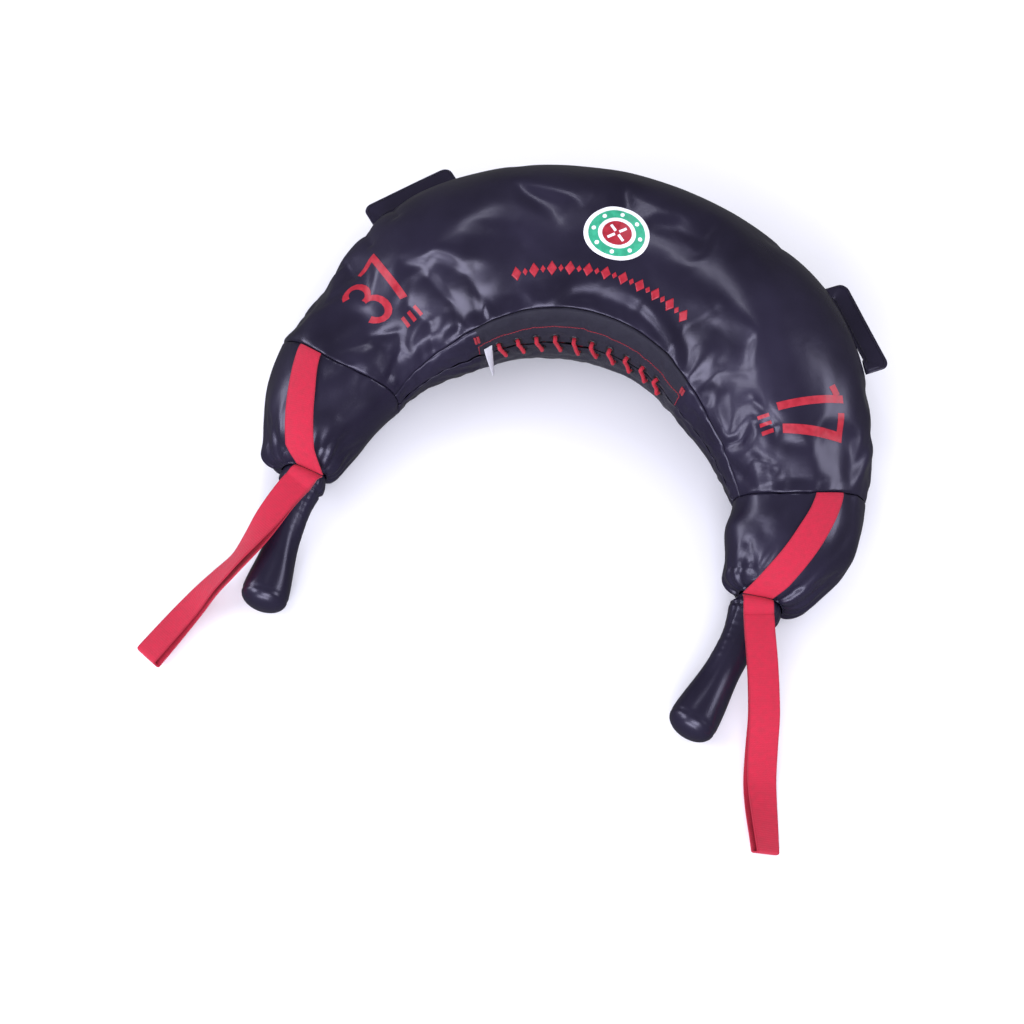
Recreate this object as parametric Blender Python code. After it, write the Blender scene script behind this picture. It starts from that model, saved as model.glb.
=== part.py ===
"""Crescent sandbag trainer: a sand-filled horseshoe of coated fabric with two grips and two webbing loops.

Frame: metres, +Z up, the floor at Z = 0. The bag lies flat, its middle at the origin, and its arms
reach towards -Y. A run is a distance along the bag's axis from the middle, left negative. An angle
goes round the section: 0 points outwards, 90 up, 180 into the hollow and 270 down.
"""

import math

import bmesh
import bpy
import numpy as np
from mathutils import Matrix, Vector

# Axis of the bag in plan
MIDDLE_RADIUS = 0.267
MIDDLE_TURN = 39.0
ARM_RADIUS = 0.293
LEFT_ARM_RUN = 0.346
RIGHT_ARM_RUN = 0.382
CUFF_LENGTH = 0.119
LEFT_NECK_SHIFT = -0.005
RIGHT_NECK_SHIFT = -0.020

# Filled section
MIDDLE_HALF_WIDTH = 0.109
MIDDLE_HALF_HEIGHT = 0.0995
RING_HALF_HEIGHT = 0.066
SHOULDER_HALF_HEIGHT = 0.054
SINK_SHARE = 0.955
STATION_SHARES = (0.0, 0.30, 0.60, 0.85, 1.0)
LEFT_WIDTH_SHARES = (1.0, 0.995, 0.94, 0.745, 0.70)
RIGHT_WIDTH_SHARES = (1.0, 0.995, 0.98, 0.81, 0.66)
LEFT_SHOULDER_SHARE = 0.65
RIGHT_SHOULDER_SHARE = 0.88
BLUNT_POWER = 5.0

# Cover
COVER_THICKNESS = 0.0025
SEAM_GAP = 0.0004
LAYER_GAP = 0.0008
OUTER_SEAM_ANGLE = 10.0
UPPER_SEAM_ANGLE = 148.0
UPPER_SEAM_END_ANGLE = 162.0
LACING_ANGLE = 177.0
LOWER_SEAM_ANGLE = 221.0
LOWER_SEAM_END_ANGLE = 208.0
LACING_OPENING = 0.010

# Lacing
LACE_DIAMETER = 0.0046
LACE_CLEARANCE = 0.0005
LACE_BEND = 0.0028
LACING_ROW_SPACING = 0.0245
LACING_PITCH_TURN = 7.6
LACING_MIDDLE_TURN = 4.0
LACE_LEAN_SHARE = 0.30
LACE_STITCHES = 10
EYELET_WALL = 0.0022
EYELET_THICKNESS = 0.0008
EYELET_GAP = 0.0004
FLAP_THICKNESS = 0.002
FLAP_WIDTH = 0.066

# Filling
PADDING_SHARE = 0.38
CUFF_PADDING_SHARES = (0.0, 0.25, 0.50, 0.70, 0.85)
CUFF_STATION_SHARES = (0.0, 0.2, 0.42, 0.62, 0.78, 0.89, 0.96, 0.992, 1.0)

# Neck and grip
NECK_RADIUS = 0.026
NECK_HEIGHT = 0.046
NECK_FRONT = 0.008
MOUTH_RADIUS = 0.026
RUNNING_GAP = 0.0004
LEFT_GRIP_LENGTH = 0.149
RIGHT_GRIP_LENGTH = 0.156
GRIP_ROOT_RADIUS = 0.0235
GRIP_RADIUS = 0.0190
KNOB_RADIUS = 0.0262
FLOOR_GAP = 0.0003
GRIP_SKIN = 0.0022
LEFT_GRIP_TURN = -7.0
RIGHT_GRIP_TURN = 6.5
GRIP_PLACE_SHARES = (0.0, 0.10, 0.24, 0.45, 0.66, 0.82, 0.92, 0.975, 1.0)
GRIP_SWELL_SHARES = (0.0, 0.0, 0.0, 0.05, 0.50, 0.95, 1.0, 0.74, 0.30)
FLARE_SHARE = 0.24
KNOB_PLACE_SHARE = 0.93

# Webbing
WEBBING_WIDTH = 0.032
WEBBING_THICKNESS = 0.0018
ANCHOR_RING_ANGLE = 70.0
ANCHOR_MOUTH_ANGLE = 90.0
ANCHOR_LIFT = 0.0008
ANCHOR_BEND = 0.009
ANCHOR_REACH = 0.004
LOOP_LENGTH = 0.240
LOOP_LAYER_GAP = 0.0012
LOOP_SIDE_STEP = 0.004
LOOP_ROOT_PLACE = 0.013
LOOP_ROOT_GAP = 0.0003
RIGHT_LOOP_ASIDE = 0.006
LEFT_LOOP_TURN = 26.0
RIGHT_LOOP_TURN = 32.0
LOOP_PLACE_SHARES = (0.0, 0.08, 0.2, 0.32, 0.44, 0.56, 0.70, 1.0)
LOOP_HEIGHT_SHARES = (1.0, 0.99, 0.94, 0.85, 0.69, 0.38, 0.08, 0.0)
LEFT_SWAY_SHARES = (0.0, 0.005, 0.02, 0.032, 0.036, 0.03, 0.01, 0.0)
RIGHT_SWAY_SHARES = (0.0, 0.0, 0.004, 0.006, 0.006, 0.0, -0.006, 0.0)
LOOP_STEPS = 18

# Carry loops on the outer seam
LEFT_CARRY_TURN = -38.0
RIGHT_CARRY_TURN = 49.0
CARRY_LENGTH = 0.112
CARRY_DEPTH = 0.028
CARRY_BAND = 0.018
CARRY_FOOT = 0.017
CARRY_THICKNESS = 0.0040
CARRY_CORNER = 0.010
CARRY_SLOT_CORNER = 0.002
CARRY_TILT = -10.0
CARRY_SEAT_GAP = 0.0004

# Care label
LABEL_WIDTH = 0.011
LABEL_LENGTH = 0.036
LABEL_THICKNESS = 0.0006
LABEL_EYELET_GAP = 0.0019
LABEL_SEAM_STEP = 17.0
LABEL_GAP = 0.0003
LABEL_LEAN = 4.0

# Facets
ARM_STEPS = 12
TOP_STEPS = 11
BOTTOM_STEPS = 12
BAND_STEPS = 3
CUFF_SIDES = 20
GRIP_SIDES = 16
LACE_SIDES = 6
EYELET_SIDES = 8
PROBE = 1e-5


def clear_scene():
    for item in list(bpy.data.objects):
        bpy.data.objects.remove(item, do_unlink=True)


def finish(item, colour, roughness, metallic=0.0):
    """The piece's own plain material."""
    material = bpy.data.materials.new(item.name + "_finish")
    material.use_nodes = True
    shader = material.node_tree.nodes["Principled BSDF"]
    shader.inputs["Base Color"].default_value = (*colour, 1.0)
    shader.inputs["Roughness"].default_value = roughness
    shader.inputs["Metallic"].default_value = metallic
    item.data.materials.append(material)
    return item


def vinyl(item):
    return finish(item, (0.035, 0.034, 0.055), 0.28)


def matt_vinyl(item):
    return finish(item, (0.045, 0.046, 0.055), 0.6)


def webbing(item):
    return finish(item, (0.62, 0.035, 0.075), 0.75)


def wadding(item):
    return finish(item, (0.75, 0.73, 0.68), 0.95)


def add_object(name, mesh):
    item = bpy.data.objects.new(name, mesh)
    bpy.context.scene.collection.objects.link(item)
    return item


def mesh_object(name, shape):
    """A new object from a bmesh, its faces turned outwards."""
    bmesh.ops.recalc_face_normals(shape, faces=shape.faces[:])
    mesh = bpy.data.meshes.new(name)
    shape.to_mesh(mesh)
    shape.free()
    mesh.shade_smooth()
    mesh.set_sharp_from_angle(angle=math.radians(35.0))
    return add_object(name, mesh)


def smooth_read(stations, values, at):
    """A smooth curve through the values, flat at its first station."""
    x = np.asarray(stations, float)
    y = np.asarray(values, float)
    slopes = np.diff(y) / np.diff(x)
    tangents = np.concatenate([[0.0], (slopes[:-1] + slopes[1:]) / 2, [slopes[-1]]])
    at = min(max(at, x[0]), x[-1])
    cell = min(max(int(np.searchsorted(x, at)) - 1, 0), len(x) - 2)
    width = x[cell + 1] - x[cell]
    t = (at - x[cell]) / width
    first = y[cell] * (2 * t**3 - 3 * t**2 + 1) + y[cell + 1] * (3 * t**2 - 2 * t**3)
    second = tangents[cell] * (t**3 - 2 * t**2 + t) + tangents[cell + 1] * (t**3 - t**2)
    return first + width * second


def arm_run(side):
    return LEFT_ARM_RUN if side < 0 else RIGHT_ARM_RUN


def axis_at(run):
    """Plan point and heading of the axis, the heading turned from +X towards -Y on the right."""
    side = math.copysign(1.0, run)
    reach = abs(run)
    bend = math.radians(MIDDLE_TURN)
    first = min(reach / MIDDLE_RADIUS, bend)
    x = MIDDLE_RADIUS * math.sin(first)
    y = -MIDDLE_RADIUS * (1 - math.cos(first))
    turn = first
    if first >= bend:
        turn = bend + (reach - MIDDLE_RADIUS * bend) / ARM_RADIUS
        x += ARM_RADIUS * (math.sin(turn) - math.sin(bend))
        y += ARM_RADIUS * (math.cos(turn) - math.cos(bend))
    aside = neck_shift(side) * min(max((reach - arm_run(side)) / CUFF_LENGTH, 0.0), 1.0) ** 2
    x += aside * math.sin(turn)
    y += aside * math.cos(turn)
    return Vector((side * x, y, 0)), turn, side


def neck_shift(side):
    """How far a cuff leans outwards by its end."""
    return LEFT_NECK_SHIFT if side < 0 else RIGHT_NECK_SHIFT


def outward_at(run):
    turn, side = axis_at(run)[1:]
    return Vector((side * math.sin(turn), math.cos(turn), 0))


def forward_at(run):
    """The direction along the arm, away from the middle."""
    turn, side = axis_at(run)[1:]
    return Vector((side * math.cos(turn), -math.sin(turn), 0))


def girth_at(run):
    """Half-width, half-height and height of the axis of the section at a run."""
    side = math.copysign(1.0, run)
    reach = abs(run)
    ring = arm_run(side)
    shares = LEFT_WIDTH_SHARES if side < 0 else RIGHT_WIDTH_SHARES
    along = min(reach / ring, 1.0)
    wide = MIDDLE_HALF_WIDTH * smooth_read(STATION_SHARES, shares, along)
    drop = (1.0 - shares[-1]) or 1.0
    fall = (1.0 - wide / MIDDLE_HALF_WIDTH) / drop
    high = MIDDLE_HALF_HEIGHT + (RING_HALF_HEIGHT - MIDDLE_HALF_HEIGHT) * fall
    if reach <= ring:
        return wide, high, high * SINK_SHARE
    along = min((reach - ring) / CUFF_LENGTH, 1.0)
    shoulder = LEFT_SHOULDER_SHARE if side < 0 else RIGHT_SHOULDER_SHARE
    blunt = math.sqrt(max(1.0 - along**BLUNT_POWER, 0.0))
    wide_end = wide * (1.0 + (shoulder - 1.0) * along)
    high_end = high + (SHOULDER_HALF_HEIGHT - high) * along
    half_width = MOUTH_RADIUS + (wide_end - MOUTH_RADIUS) * blunt
    half_height = MOUTH_RADIUS + (high_end - MOUTH_RADIUS) * blunt
    level = NECK_HEIGHT + (high * SINK_SHARE - NECK_HEIGHT) * (1.0 - along**2)
    return half_width, half_height, level


def skin_raw(run, angle):
    wide, high, level = girth_at(run)
    swing = math.radians(angle)
    point = axis_at(run)[0] + outward_at(run) * (wide * math.cos(swing))
    point.z = level + high * math.sin(swing)
    return point


def skin_normal(run, angle):
    """Outward normal of the filled skin."""
    along = skin_raw(run + PROBE, angle) - skin_raw(run - PROBE, angle)
    turn = math.degrees(PROBE / MIDDLE_HALF_WIDTH)
    around = skin_raw(run, angle + turn) - skin_raw(run, angle - turn)
    normal = along.cross(around).normalized()
    middle = axis_at(run)[0]
    middle.z = girth_at(run)[2]
    return normal if normal.dot(skin_raw(run, angle) - middle) > 0 else -normal


def skin_point(run, angle, depth=0.0):
    """A point at a depth under the skin. The skin is flat where the bag lies on the floor."""
    point = skin_raw(run, angle) - skin_normal(run, angle) * depth
    point.z = max(point.z, depth)
    return point


def spread(first, last, steps):
    return [first + (last - first) * step / steps for step in range(steps + 1)]


def add_grid(shape, rows):
    """A sheet of four-sided faces through rows of points."""
    made = [[shape.verts.new(point) for point in row] for row in rows]
    for first, second in zip(made, made[1:]):
        for place in range(len(first) - 1):
            corners = (first[place], first[place + 1], second[place + 1], second[place])
            shape.faces.new(corners)
    return made


def close_between(shape, outer, inner):
    """Walls between the edges of two sheets of the same size."""
    edges = [
        (outer[0], inner[0]),
        (outer[-1], inner[-1]),
        ([row[0] for row in outer], [row[0] for row in inner]),
        ([row[-1] for row in outer], [row[-1] for row in inner]),
    ]
    for one, other in edges:
        for place in range(len(one) - 1):
            shape.faces.new((one[place], one[place + 1], other[place + 1], other[place]))


def value_at(value, *places):
    """A plain value, or what a function gives for the places."""
    return value(*places) if callable(value) else value


def layer(name, runs, angles, outer_depth, inner_depth):
    """A closed layer of the bag between two depths: the angles and depths are values or functions."""

    def rows(depth):
        made = []
        for run in runs:
            row = value_at(angles, run)
            made.append([skin_point(run, angle, value_at(depth, run, angle)) for angle in row])
        return made

    shape = bmesh.new()
    outer = add_grid(shape, rows(outer_depth))
    inner = add_grid(shape, rows(inner_depth))
    close_between(shape, outer, inner)
    return mesh_object(name, shape)


def body_runs(short=SEAM_GAP, steps=ARM_STEPS):
    """Stations from one ring seam to the other, even along each arm."""
    left = spread(-LEFT_ARM_RUN + short, 0.0, steps)
    return left + spread(0.0, RIGHT_ARM_RUN - short, steps)[1:]


def gap_angle(gap):
    """Half a gap in the skin, as an angle round the section."""
    return math.degrees(gap / 2 / MIDDLE_HALF_HEIGHT)


def seam_angle(run, middle, end):
    """Angle of a long seam, which runs closer to the lacing towards the arm's end."""
    side = math.copysign(1.0, run)
    along = min(abs(run) / arm_run(side), 1.0)
    return middle + (end - middle) * along**2


def upper_seam(run):
    return seam_angle(run, UPPER_SEAM_ANGLE, UPPER_SEAM_END_ANGLE)


def lower_seam(run):
    return seam_angle(run, LOWER_SEAM_ANGLE, LOWER_SEAM_END_ANGLE)


def cut(item, cutter):
    """Takes one shape out of another."""
    cutter.hide_render = True
    cutter.display_type = "WIRE"
    modifier = item.modifiers.new("cut", "BOOLEAN")
    modifier.operation = "DIFFERENCE"
    modifier.object = cutter


def lace_turns():
    """The heading of each upper eyelet, as a turn from the middle, and one column more."""
    span = LACING_PITCH_TURN * LACE_STITCHES
    start = LACING_MIDDLE_TURN - span / 2
    return [start + LACING_PITCH_TURN * column for column in range(LACE_STITCHES + 1)]


def run_at_turn(turn):
    """The run at which the axis has turned by so many degrees."""
    side = math.copysign(1.0, turn)
    wanted = math.radians(abs(turn))
    bend = math.radians(MIDDLE_TURN)
    reach = MIDDLE_RADIUS * min(wanted, bend) + ARM_RADIUS * max(wanted - bend, 0.0)
    return side * reach


def row_angle(row):
    """Angle of a row of eyelets: 1 is the upper row and -1 the lower."""
    half = math.degrees(LACING_ROW_SPACING / 2 / MIDDLE_HALF_WIDTH)
    return LACING_ANGLE - row * half


def eyelet_bore():
    return LACE_DIAMETER / 2 + LACE_CLEARANCE


def lower_turn(turn):
    """Heading of the lower hole of a stitch, a part of the pitch beyond its upper hole."""
    return turn + LACE_LEAN_SHARE * LACING_PITCH_TURN


def hole_places(row):
    """Run and angle of the holes that the lace goes through."""
    columns = lace_turns()[:-1]
    if row < 0:
        columns = [lower_turn(turn) for turn in columns]
    return [(run_at_turn(turn), row_angle(row)) for turn in columns]


def at_skin(run, angle, depth):
    """A matrix with its Z axis out of the skin."""
    normal = skin_normal(run, angle)
    turned = normal.to_track_quat("Z", "Y").to_matrix().to_4x4()
    return Matrix.Translation(skin_point(run, angle, depth)) @ turned


def band_cutter(name, row):
    """Punched holes for the lace in one inner band."""
    shape = bmesh.new()
    reach = 4 * COVER_THICKNESS
    for run, angle in hole_places(row):
        bmesh.ops.create_cone(
            shape,
            cap_ends=True,
            segments=EYELET_SIDES,
            radius1=eyelet_bore(),
            radius2=eyelet_bore(),
            depth=reach,
            matrix=at_skin(run, angle, COVER_THICKNESS / 2),
        )
    return mesh_object(name, shape)


def top_angles(run, gap=SEAM_GAP):
    trim = gap_angle(gap)
    return spread(OUTER_SEAM_ANGLE + trim, upper_seam(run) - trim, TOP_STEPS)


def bottom_angles(run, gap=SEAM_GAP):
    trim = gap_angle(gap)
    return spread(lower_seam(run) + trim, OUTER_SEAM_ANGLE + 360 - trim, BOTTOM_STEPS)


def upper_band_angles(run, slit=LACING_OPENING):
    return spread(upper_seam(run) + gap_angle(SEAM_GAP), LACING_ANGLE - gap_angle(slit), BAND_STEPS)


def lower_band_angles(run, slit=LACING_OPENING):
    return spread(LACING_ANGLE + gap_angle(slit), lower_seam(run) - gap_angle(SEAM_GAP), BAND_STEPS)


def make_cover():
    """The printed top panel, the bottom panel and the two laced inner bands."""
    runs = body_runs()
    vinyl(layer("top_panel", runs, top_angles, 0.0, COVER_THICKNESS))
    vinyl(layer("bottom_panel", runs, bottom_angles, 0.0, COVER_THICKNESS))
    bands = (("inner_band_upper", upper_band_angles, 1), ("inner_band_lower", lower_band_angles, -1))
    for name, angles, row in bands:
        band = matt_vinyl(layer(name, runs, angles, 0.0, COVER_THICKNESS))
        cut(band, band_cutter(name + "_holes", row))


def make_eyelets():
    """A flat ring round each hole that the lace uses."""
    for row, word in ((1, "upper"), (-1, "lower")):
        for number, (run, angle) in enumerate(hole_places(row), 1):
            shape = bmesh.new()
            bore = eyelet_bore()
            rim = bore + EYELET_WALL
            low = EYELET_GAP
            high = EYELET_GAP + EYELET_THICKNESS
            corners = ((bore, low), (rim, low), (rim, high), (bore, high))
            profile = [shape.verts.new((radius, 0, level)) for radius, level in corners]
            edges = [shape.edges.new((profile[i], profile[(i + 1) % 4])) for i in range(4)]
            bmesh.ops.spin(
                shape,
                geom=profile + edges,
                axis=(0, 0, 1),
                cent=(0, 0, 0),
                angle=2 * math.pi,
                steps=EYELET_SIDES,
                use_merge=True,
            )
            bmesh.ops.remove_doubles(shape, verts=shape.verts[:], dist=PROBE)
            bmesh.ops.transform(shape, matrix=at_skin(run, angle, 0.0), verts=shape.verts[:])
            ring = mesh_object(f"eyelet_{word}_{number:02d}", shape)
            finish(ring, (0.09, 0.09, 0.10), 0.35, 0.9)


def lace_depths():
    """How far the lace runs outside the skin, and how deep behind it."""
    outside = EYELET_GAP + EYELET_THICKNESS + LACE_CLEARANCE
    inside = COVER_THICKNESS + LACE_CLEARANCE
    return outside, inside


def lace_points():
    """One unbroken whip stitch: steep over both edges outside, and slanting back inside."""
    outside, inside = lace_depths()
    turns = lace_turns()
    half = LACING_ROW_SPACING / 2

    def place(turn, height, depth):
        angle = LACING_ANGLE - math.degrees(height / MIDDLE_HALF_WIDTH)
        return skin_point(run_at_turn(turn), angle, depth)

    def bend(turn, row, level, outward):
        """From the straight part into the hole: outward is -1 outside and 1 behind the skin."""
        drop = LACE_BEND * (1 - math.cos(math.pi / 4))
        flat = level + outward * LACE_BEND
        corner = flat - outward * drop
        return [
            place(turn, row * (half - LACE_BEND), flat),
            place(turn, row * (half - drop), corner),
            place(turn, row * half, level),
        ]

    straight = half - LACE_BEND
    behind = inside + LACE_BEND
    before = lower_turn(turns[0] - LACING_PITCH_TURN)
    points = [place(before, -straight, behind)]
    for turn in turns:
        points.append(place((before + turn) / 2, 0.0, behind))
        if turn == turns[-1]:
            points.append(place(turn, straight, behind))
            break
        points += bend(turn, 1, inside, 1)
        points += bend(turn, 1, -outside, -1)[::-1]
        after = lower_turn(turn)
        for share in (1 / 3, 2 / 3):
            middle = turn + share * (after - turn)
            points.append(place(middle, straight * (1 - 2 * share), -outside - LACE_BEND))
        points += bend(after, -1, -outside, -1)
        points += bend(after, -1, inside, 1)[::-1]
        before = after
    return points


def tube(name, points, radius, sides):
    """A round bar along the points, its rings carried along without twist."""
    shape = bmesh.new()
    rings = []
    across = None
    for place, point in enumerate(points):
        before = points[max(place - 1, 0)]
        after = points[min(place + 1, len(points) - 1)]
        along = (after - before).normalized()
        if across is None:
            across = along.orthogonal()
        across = (across - along * across.dot(along)).normalized()
        other = along.cross(across)
        ring = []
        for side in range(sides):
            angle = 2 * math.pi * side / sides
            spoke = across * math.cos(angle) + other * math.sin(angle)
            ring.append(shape.verts.new(point + spoke * radius))
        rings.append(ring)
    close_rings(shape, rings)
    return mesh_object(name, shape)


def make_lacing():
    lace = tube("lace", lace_points(), LACE_DIAMETER / 2, LACE_SIDES)
    finish(lace, (0.6, 0.03, 0.06), 0.6)
    depth = flap_depth()
    half = math.degrees(FLAP_WIDTH / 2 / MIDDLE_HALF_WIDTH)
    turns = lace_turns()
    runs = [run_at_turn(turn) for turn in turns]
    angles = spread(LACING_ANGLE - half, LACING_ANGLE + half, 4)
    matt_vinyl(layer("lace_flap", runs, angles, depth, depth + FLAP_THICKNESS))


def flap_depth():
    """The flap lies just behind the lace."""
    return COVER_THICKNESS + 2 * LACE_CLEARANCE + LACE_BEND + LACE_DIAMETER / 2


def padding_depth(run, angle):
    """The wadding lies under the cover and steps back behind the flap."""
    plain = COVER_THICKNESS + LAYER_GAP
    behind = flap_depth() + FLAP_THICKNESS + 2 * LAYER_GAP
    half = math.degrees(FLAP_WIDTH / 2 / MIDDLE_HALF_WIDTH)
    off = abs(angle - LACING_ANGLE) - half
    ease = min(max(1.0 - off / half, 0.0), 1.0)
    return plain + (behind - plain) * ease


def core_depth(run, angle=0.0):
    wide, high, level = girth_at(run)
    return min(wide, high) * PADDING_SHARE


def make_filling():
    """Two layers of wadding round one sealed, sand-filled liner."""
    runs = body_runs(short=2 * LAYER_GAP)

    def upper(run):
        return top_angles(run, 2 * LAYER_GAP)[:-1] + upper_band_angles(run, 2 * LAYER_GAP)

    def lower(run):
        return lower_band_angles(run, 2 * LAYER_GAP)[:-1] + bottom_angles(run, 2 * LAYER_GAP)

    wadding(layer("padding_upper", runs, upper, padding_depth, core_depth))
    wadding(layer("padding_lower", runs, lower, padding_depth, core_depth))
    shape = bmesh.new()
    rings = []
    for run in runs:
        depth = core_depth(run) + LAYER_GAP
        angles = upper(run)[:-1] + lower(run)[:-1]
        rings.append([shape.verts.new(skin_point(run, angle, depth)) for angle in angles])
    close_rings(shape, rings)
    finish(mesh_object("sand_liner", shape), (0.55, 0.47, 0.34), 0.8)


def join_rings(shape, rings):
    """A skin through rings of points."""
    count = len(rings[0])
    for first, second in zip(rings, rings[1:]):
        for place in range(count):
            after = (place + 1) % count
            shape.faces.new((first[place], first[after], second[after], second[place]))


def close_rings(shape, rings):
    """A closed skin over rings of points, with a flat end at each."""
    join_rings(shape, rings)
    shape.faces.new(rings[0][::-1])
    shape.faces.new(rings[-1])


def cuff_runs(side):
    """Stations from the ring seam to the neck's mouth, closer together at the blunt end."""
    start = arm_run(side) + SEAM_GAP
    length = CUFF_LENGTH - SEAM_GAP
    return [side * (start + length * share) for share in CUFF_STATION_SHARES]


def make_cuff(name, side):
    """The end of the arm: a sewn sleeve gathered to a round mouth."""
    shape = bmesh.new()
    angles = spread(0.0, 360.0, CUFF_SIDES)[:-1]
    runs = cuff_runs(side)
    outer = [[skin_point(run, angle) for angle in angles] for run in runs]
    inner = [[skin_point(run, angle, COVER_THICKNESS) for angle in angles] for run in runs]
    mouth = axis_at(runs[-1])[0]
    mouth.z = NECK_HEIGHT
    for ring, radius in ((outer, MOUTH_RADIUS), (inner, MOUTH_RADIUS - COVER_THICKNESS)):
        for place, angle in enumerate(angles):
            swing = math.radians(angle)
            spoke = outward_at(runs[-1]) * math.cos(swing) + Vector((0, 0, math.sin(swing)))
            ring[-1][place] = mouth + spoke * radius
    rings = [[shape.verts.new(point) for point in ring] for ring in outer + inner[::-1]]
    join_rings(shape, rings + rings[:1])
    vinyl(mesh_object(name + "_cuff", shape))


def make_cuff_padding(name, side):
    """A plug of wadding between the sand liner and the neck."""
    shape = bmesh.new()
    rings = []
    angles = spread(0.0, 360.0, CUFF_SIDES // 2)[:-1]
    depth = COVER_THICKNESS + 2 * LAYER_GAP
    start = arm_run(side) + 2 * LAYER_GAP
    for share in CUFF_PADDING_SHARES:
        run = side * (start + CUFF_LENGTH * share)
        rings.append([shape.verts.new(skin_point(run, angle, depth)) for angle in angles])
    close_rings(shape, rings)
    wadding(mesh_object(name + "_cuff_padding", shape))


def neck_centre(side):
    """The neck's ball lies in front of the mouth, its back inside it."""
    lip = MOUTH_RADIUS - COVER_THICKNESS
    ahead = math.sqrt((NECK_RADIUS + RUNNING_GAP) ** 2 - lip**2)
    run = side * (arm_run(side) + CUFF_LENGTH)
    centre = axis_at(run)[0] + forward_at(run) * ahead
    centre.z = NECK_HEIGHT
    return centre


def grip_heading(side, aside=0.0):
    """Direction of the grip on the floor plane, or so many degrees towards the outside of it."""
    run = side * (arm_run(side) + CUFF_LENGTH)
    extra = LEFT_GRIP_TURN if side < 0 else RIGHT_GRIP_TURN
    turn = axis_at(run)[1] + math.radians(extra - aside)
    return Vector((side * math.cos(turn), -math.sin(turn), 0))


def turned_profile(shape, profile, sides):
    """Rings of a turned shape about +X through points of (place along X, radius)."""
    rings = []
    for along, radius in profile:
        ring = []
        for side in range(sides):
            angle = 2 * math.pi * side / sides
            ring.append(shape.verts.new((along, radius * math.cos(angle), radius * math.sin(angle))))
        rings.append(ring)
    return rings


def pivot_at(side, along=0.0, rise=0.0):
    """A place ahead of the neck's centre and above it, along the grip."""
    return neck_centre(side) + grip_heading(side) * along + Vector((0, 0, rise))


def put_at(item, place, heading):
    """Puts a piece made along +X at its pivot, with its X axis along the heading."""
    item.location = place
    item.rotation_euler = (0, 0, math.atan2(heading.y, heading.x))
    return item


def make_neck(name, side):
    """The gathered neck: a ball held in the cuff's mouth, cut flat where the grip begins."""
    back = -math.sqrt(NECK_RADIUS**2 - (NECK_RADIUS / 3) ** 2)
    stops = spread(back, NECK_FRONT, 7)
    shape = bmesh.new()
    profile = [(stop, math.sqrt(NECK_RADIUS**2 - stop**2)) for stop in stops]
    close_rings(shape, turned_profile(shape, profile, GRIP_SIDES))
    ball = put_at(mesh_object(name + "_neck", shape), pivot_at(side), grip_heading(side))
    vinyl(ball)


def grip_hinge():
    """Place ahead of the neck's centre and height of the line that the grip lifts about."""
    return NECK_FRONT + RUNNING_GAP / 2, math.sqrt(NECK_RADIUS**2 - NECK_FRONT**2)


def grip_length(side):
    return LEFT_GRIP_LENGTH if side < 0 else RIGHT_GRIP_LENGTH


def grip_profile(side, skin):
    """Places and radii along the grip, narrow in the hand and swelling to the knob."""
    start = NECK_FRONT + RUNNING_GAP
    length = grip_length(side) - start
    profile = []
    for place, swell in zip(GRIP_PLACE_SHARES, GRIP_SWELL_SHARES):
        flare = max(1.0 - place / FLARE_SHARE, 0.0) ** 2
        radius = GRIP_RADIUS + (GRIP_ROOT_RADIUS - GRIP_RADIUS) * flare
        radius += (KNOB_RADIUS - GRIP_RADIUS) * swell
        if place > KNOB_PLACE_SHARE:
            radius = KNOB_RADIUS * swell
        profile.append((start + (length - skin) * place, radius - skin))
    return profile


def grip_drop(side, along):
    """How far the grip's axis has come down from the neck, at a place along it."""
    share = min(max(along / grip_length(side), 0.0), 1.0)
    rest = KNOB_RADIUS + FLOOR_GAP
    return (rest - NECK_HEIGHT) * share**2 * (3 - 2 * share)


def grip_top(side, along):
    """Height of the sleeve's top above the neck's centre, at a place along the grip."""
    profile = grip_profile(side, 0.0)
    places = [place for place, radius in profile]
    radii = [radius for place, radius in profile]
    return float(np.interp(along, places, radii)) + grip_drop(side, along)


def place_grip(side, item):
    """The grip's origin lies on the line that it lifts about."""
    along, rise = grip_hinge()
    for point in item.data.vertices:
        point.co.z += grip_drop(side, point.co.x) - rise
        point.co.x -= along
    return put_at(item, pivot_at(side, along, rise), grip_heading(side))


def make_grip(name, side):
    """A sewn sleeve over a firm core: the sleeve is open at its root, where the core goes in."""
    sleeve = bmesh.new()
    outer = turned_profile(sleeve, grip_profile(side, 0.0), GRIP_SIDES)
    inner = turned_profile(sleeve, grip_profile(side, GRIP_SKIN), GRIP_SIDES)
    join_rings(sleeve, outer[::-1] + inner)
    sleeve.faces.new(outer[-1])
    sleeve.faces.new(inner[-1])
    vinyl(place_grip(side, mesh_object(name + "_grip_sleeve", sleeve)))
    core = bmesh.new()
    inside = grip_profile(side, GRIP_SKIN + LAYER_GAP)
    close_rings(core, turned_profile(core, inside, GRIP_SIDES // 2))
    finish(place_grip(side, mesh_object(name + "_grip_core", core)), (0.1, 0.09, 0.08), 0.9)


def thick_sheet(shape, rows, thickness):
    """A strip of cloth with its middle through rows of points."""
    faces = [[], []]
    for number, row in enumerate(rows):
        before = rows[max(number - 1, 0)]
        after = rows[min(number + 1, len(rows) - 1)]
        upper = []
        lower = []
        for place, point in enumerate(row):
            along = after[place] - before[place]
            across = row[min(place + 1, len(row) - 1)] - row[max(place - 1, 0)]
            normal = across.cross(along).normalized() * (thickness / 2)
            upper.append(point + normal)
            lower.append(point - normal)
        faces[0].append(upper)
        faces[1].append(lower)
    close_between(shape, add_grid(shape, faces[0]), add_grid(shape, faces[1]))


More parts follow.
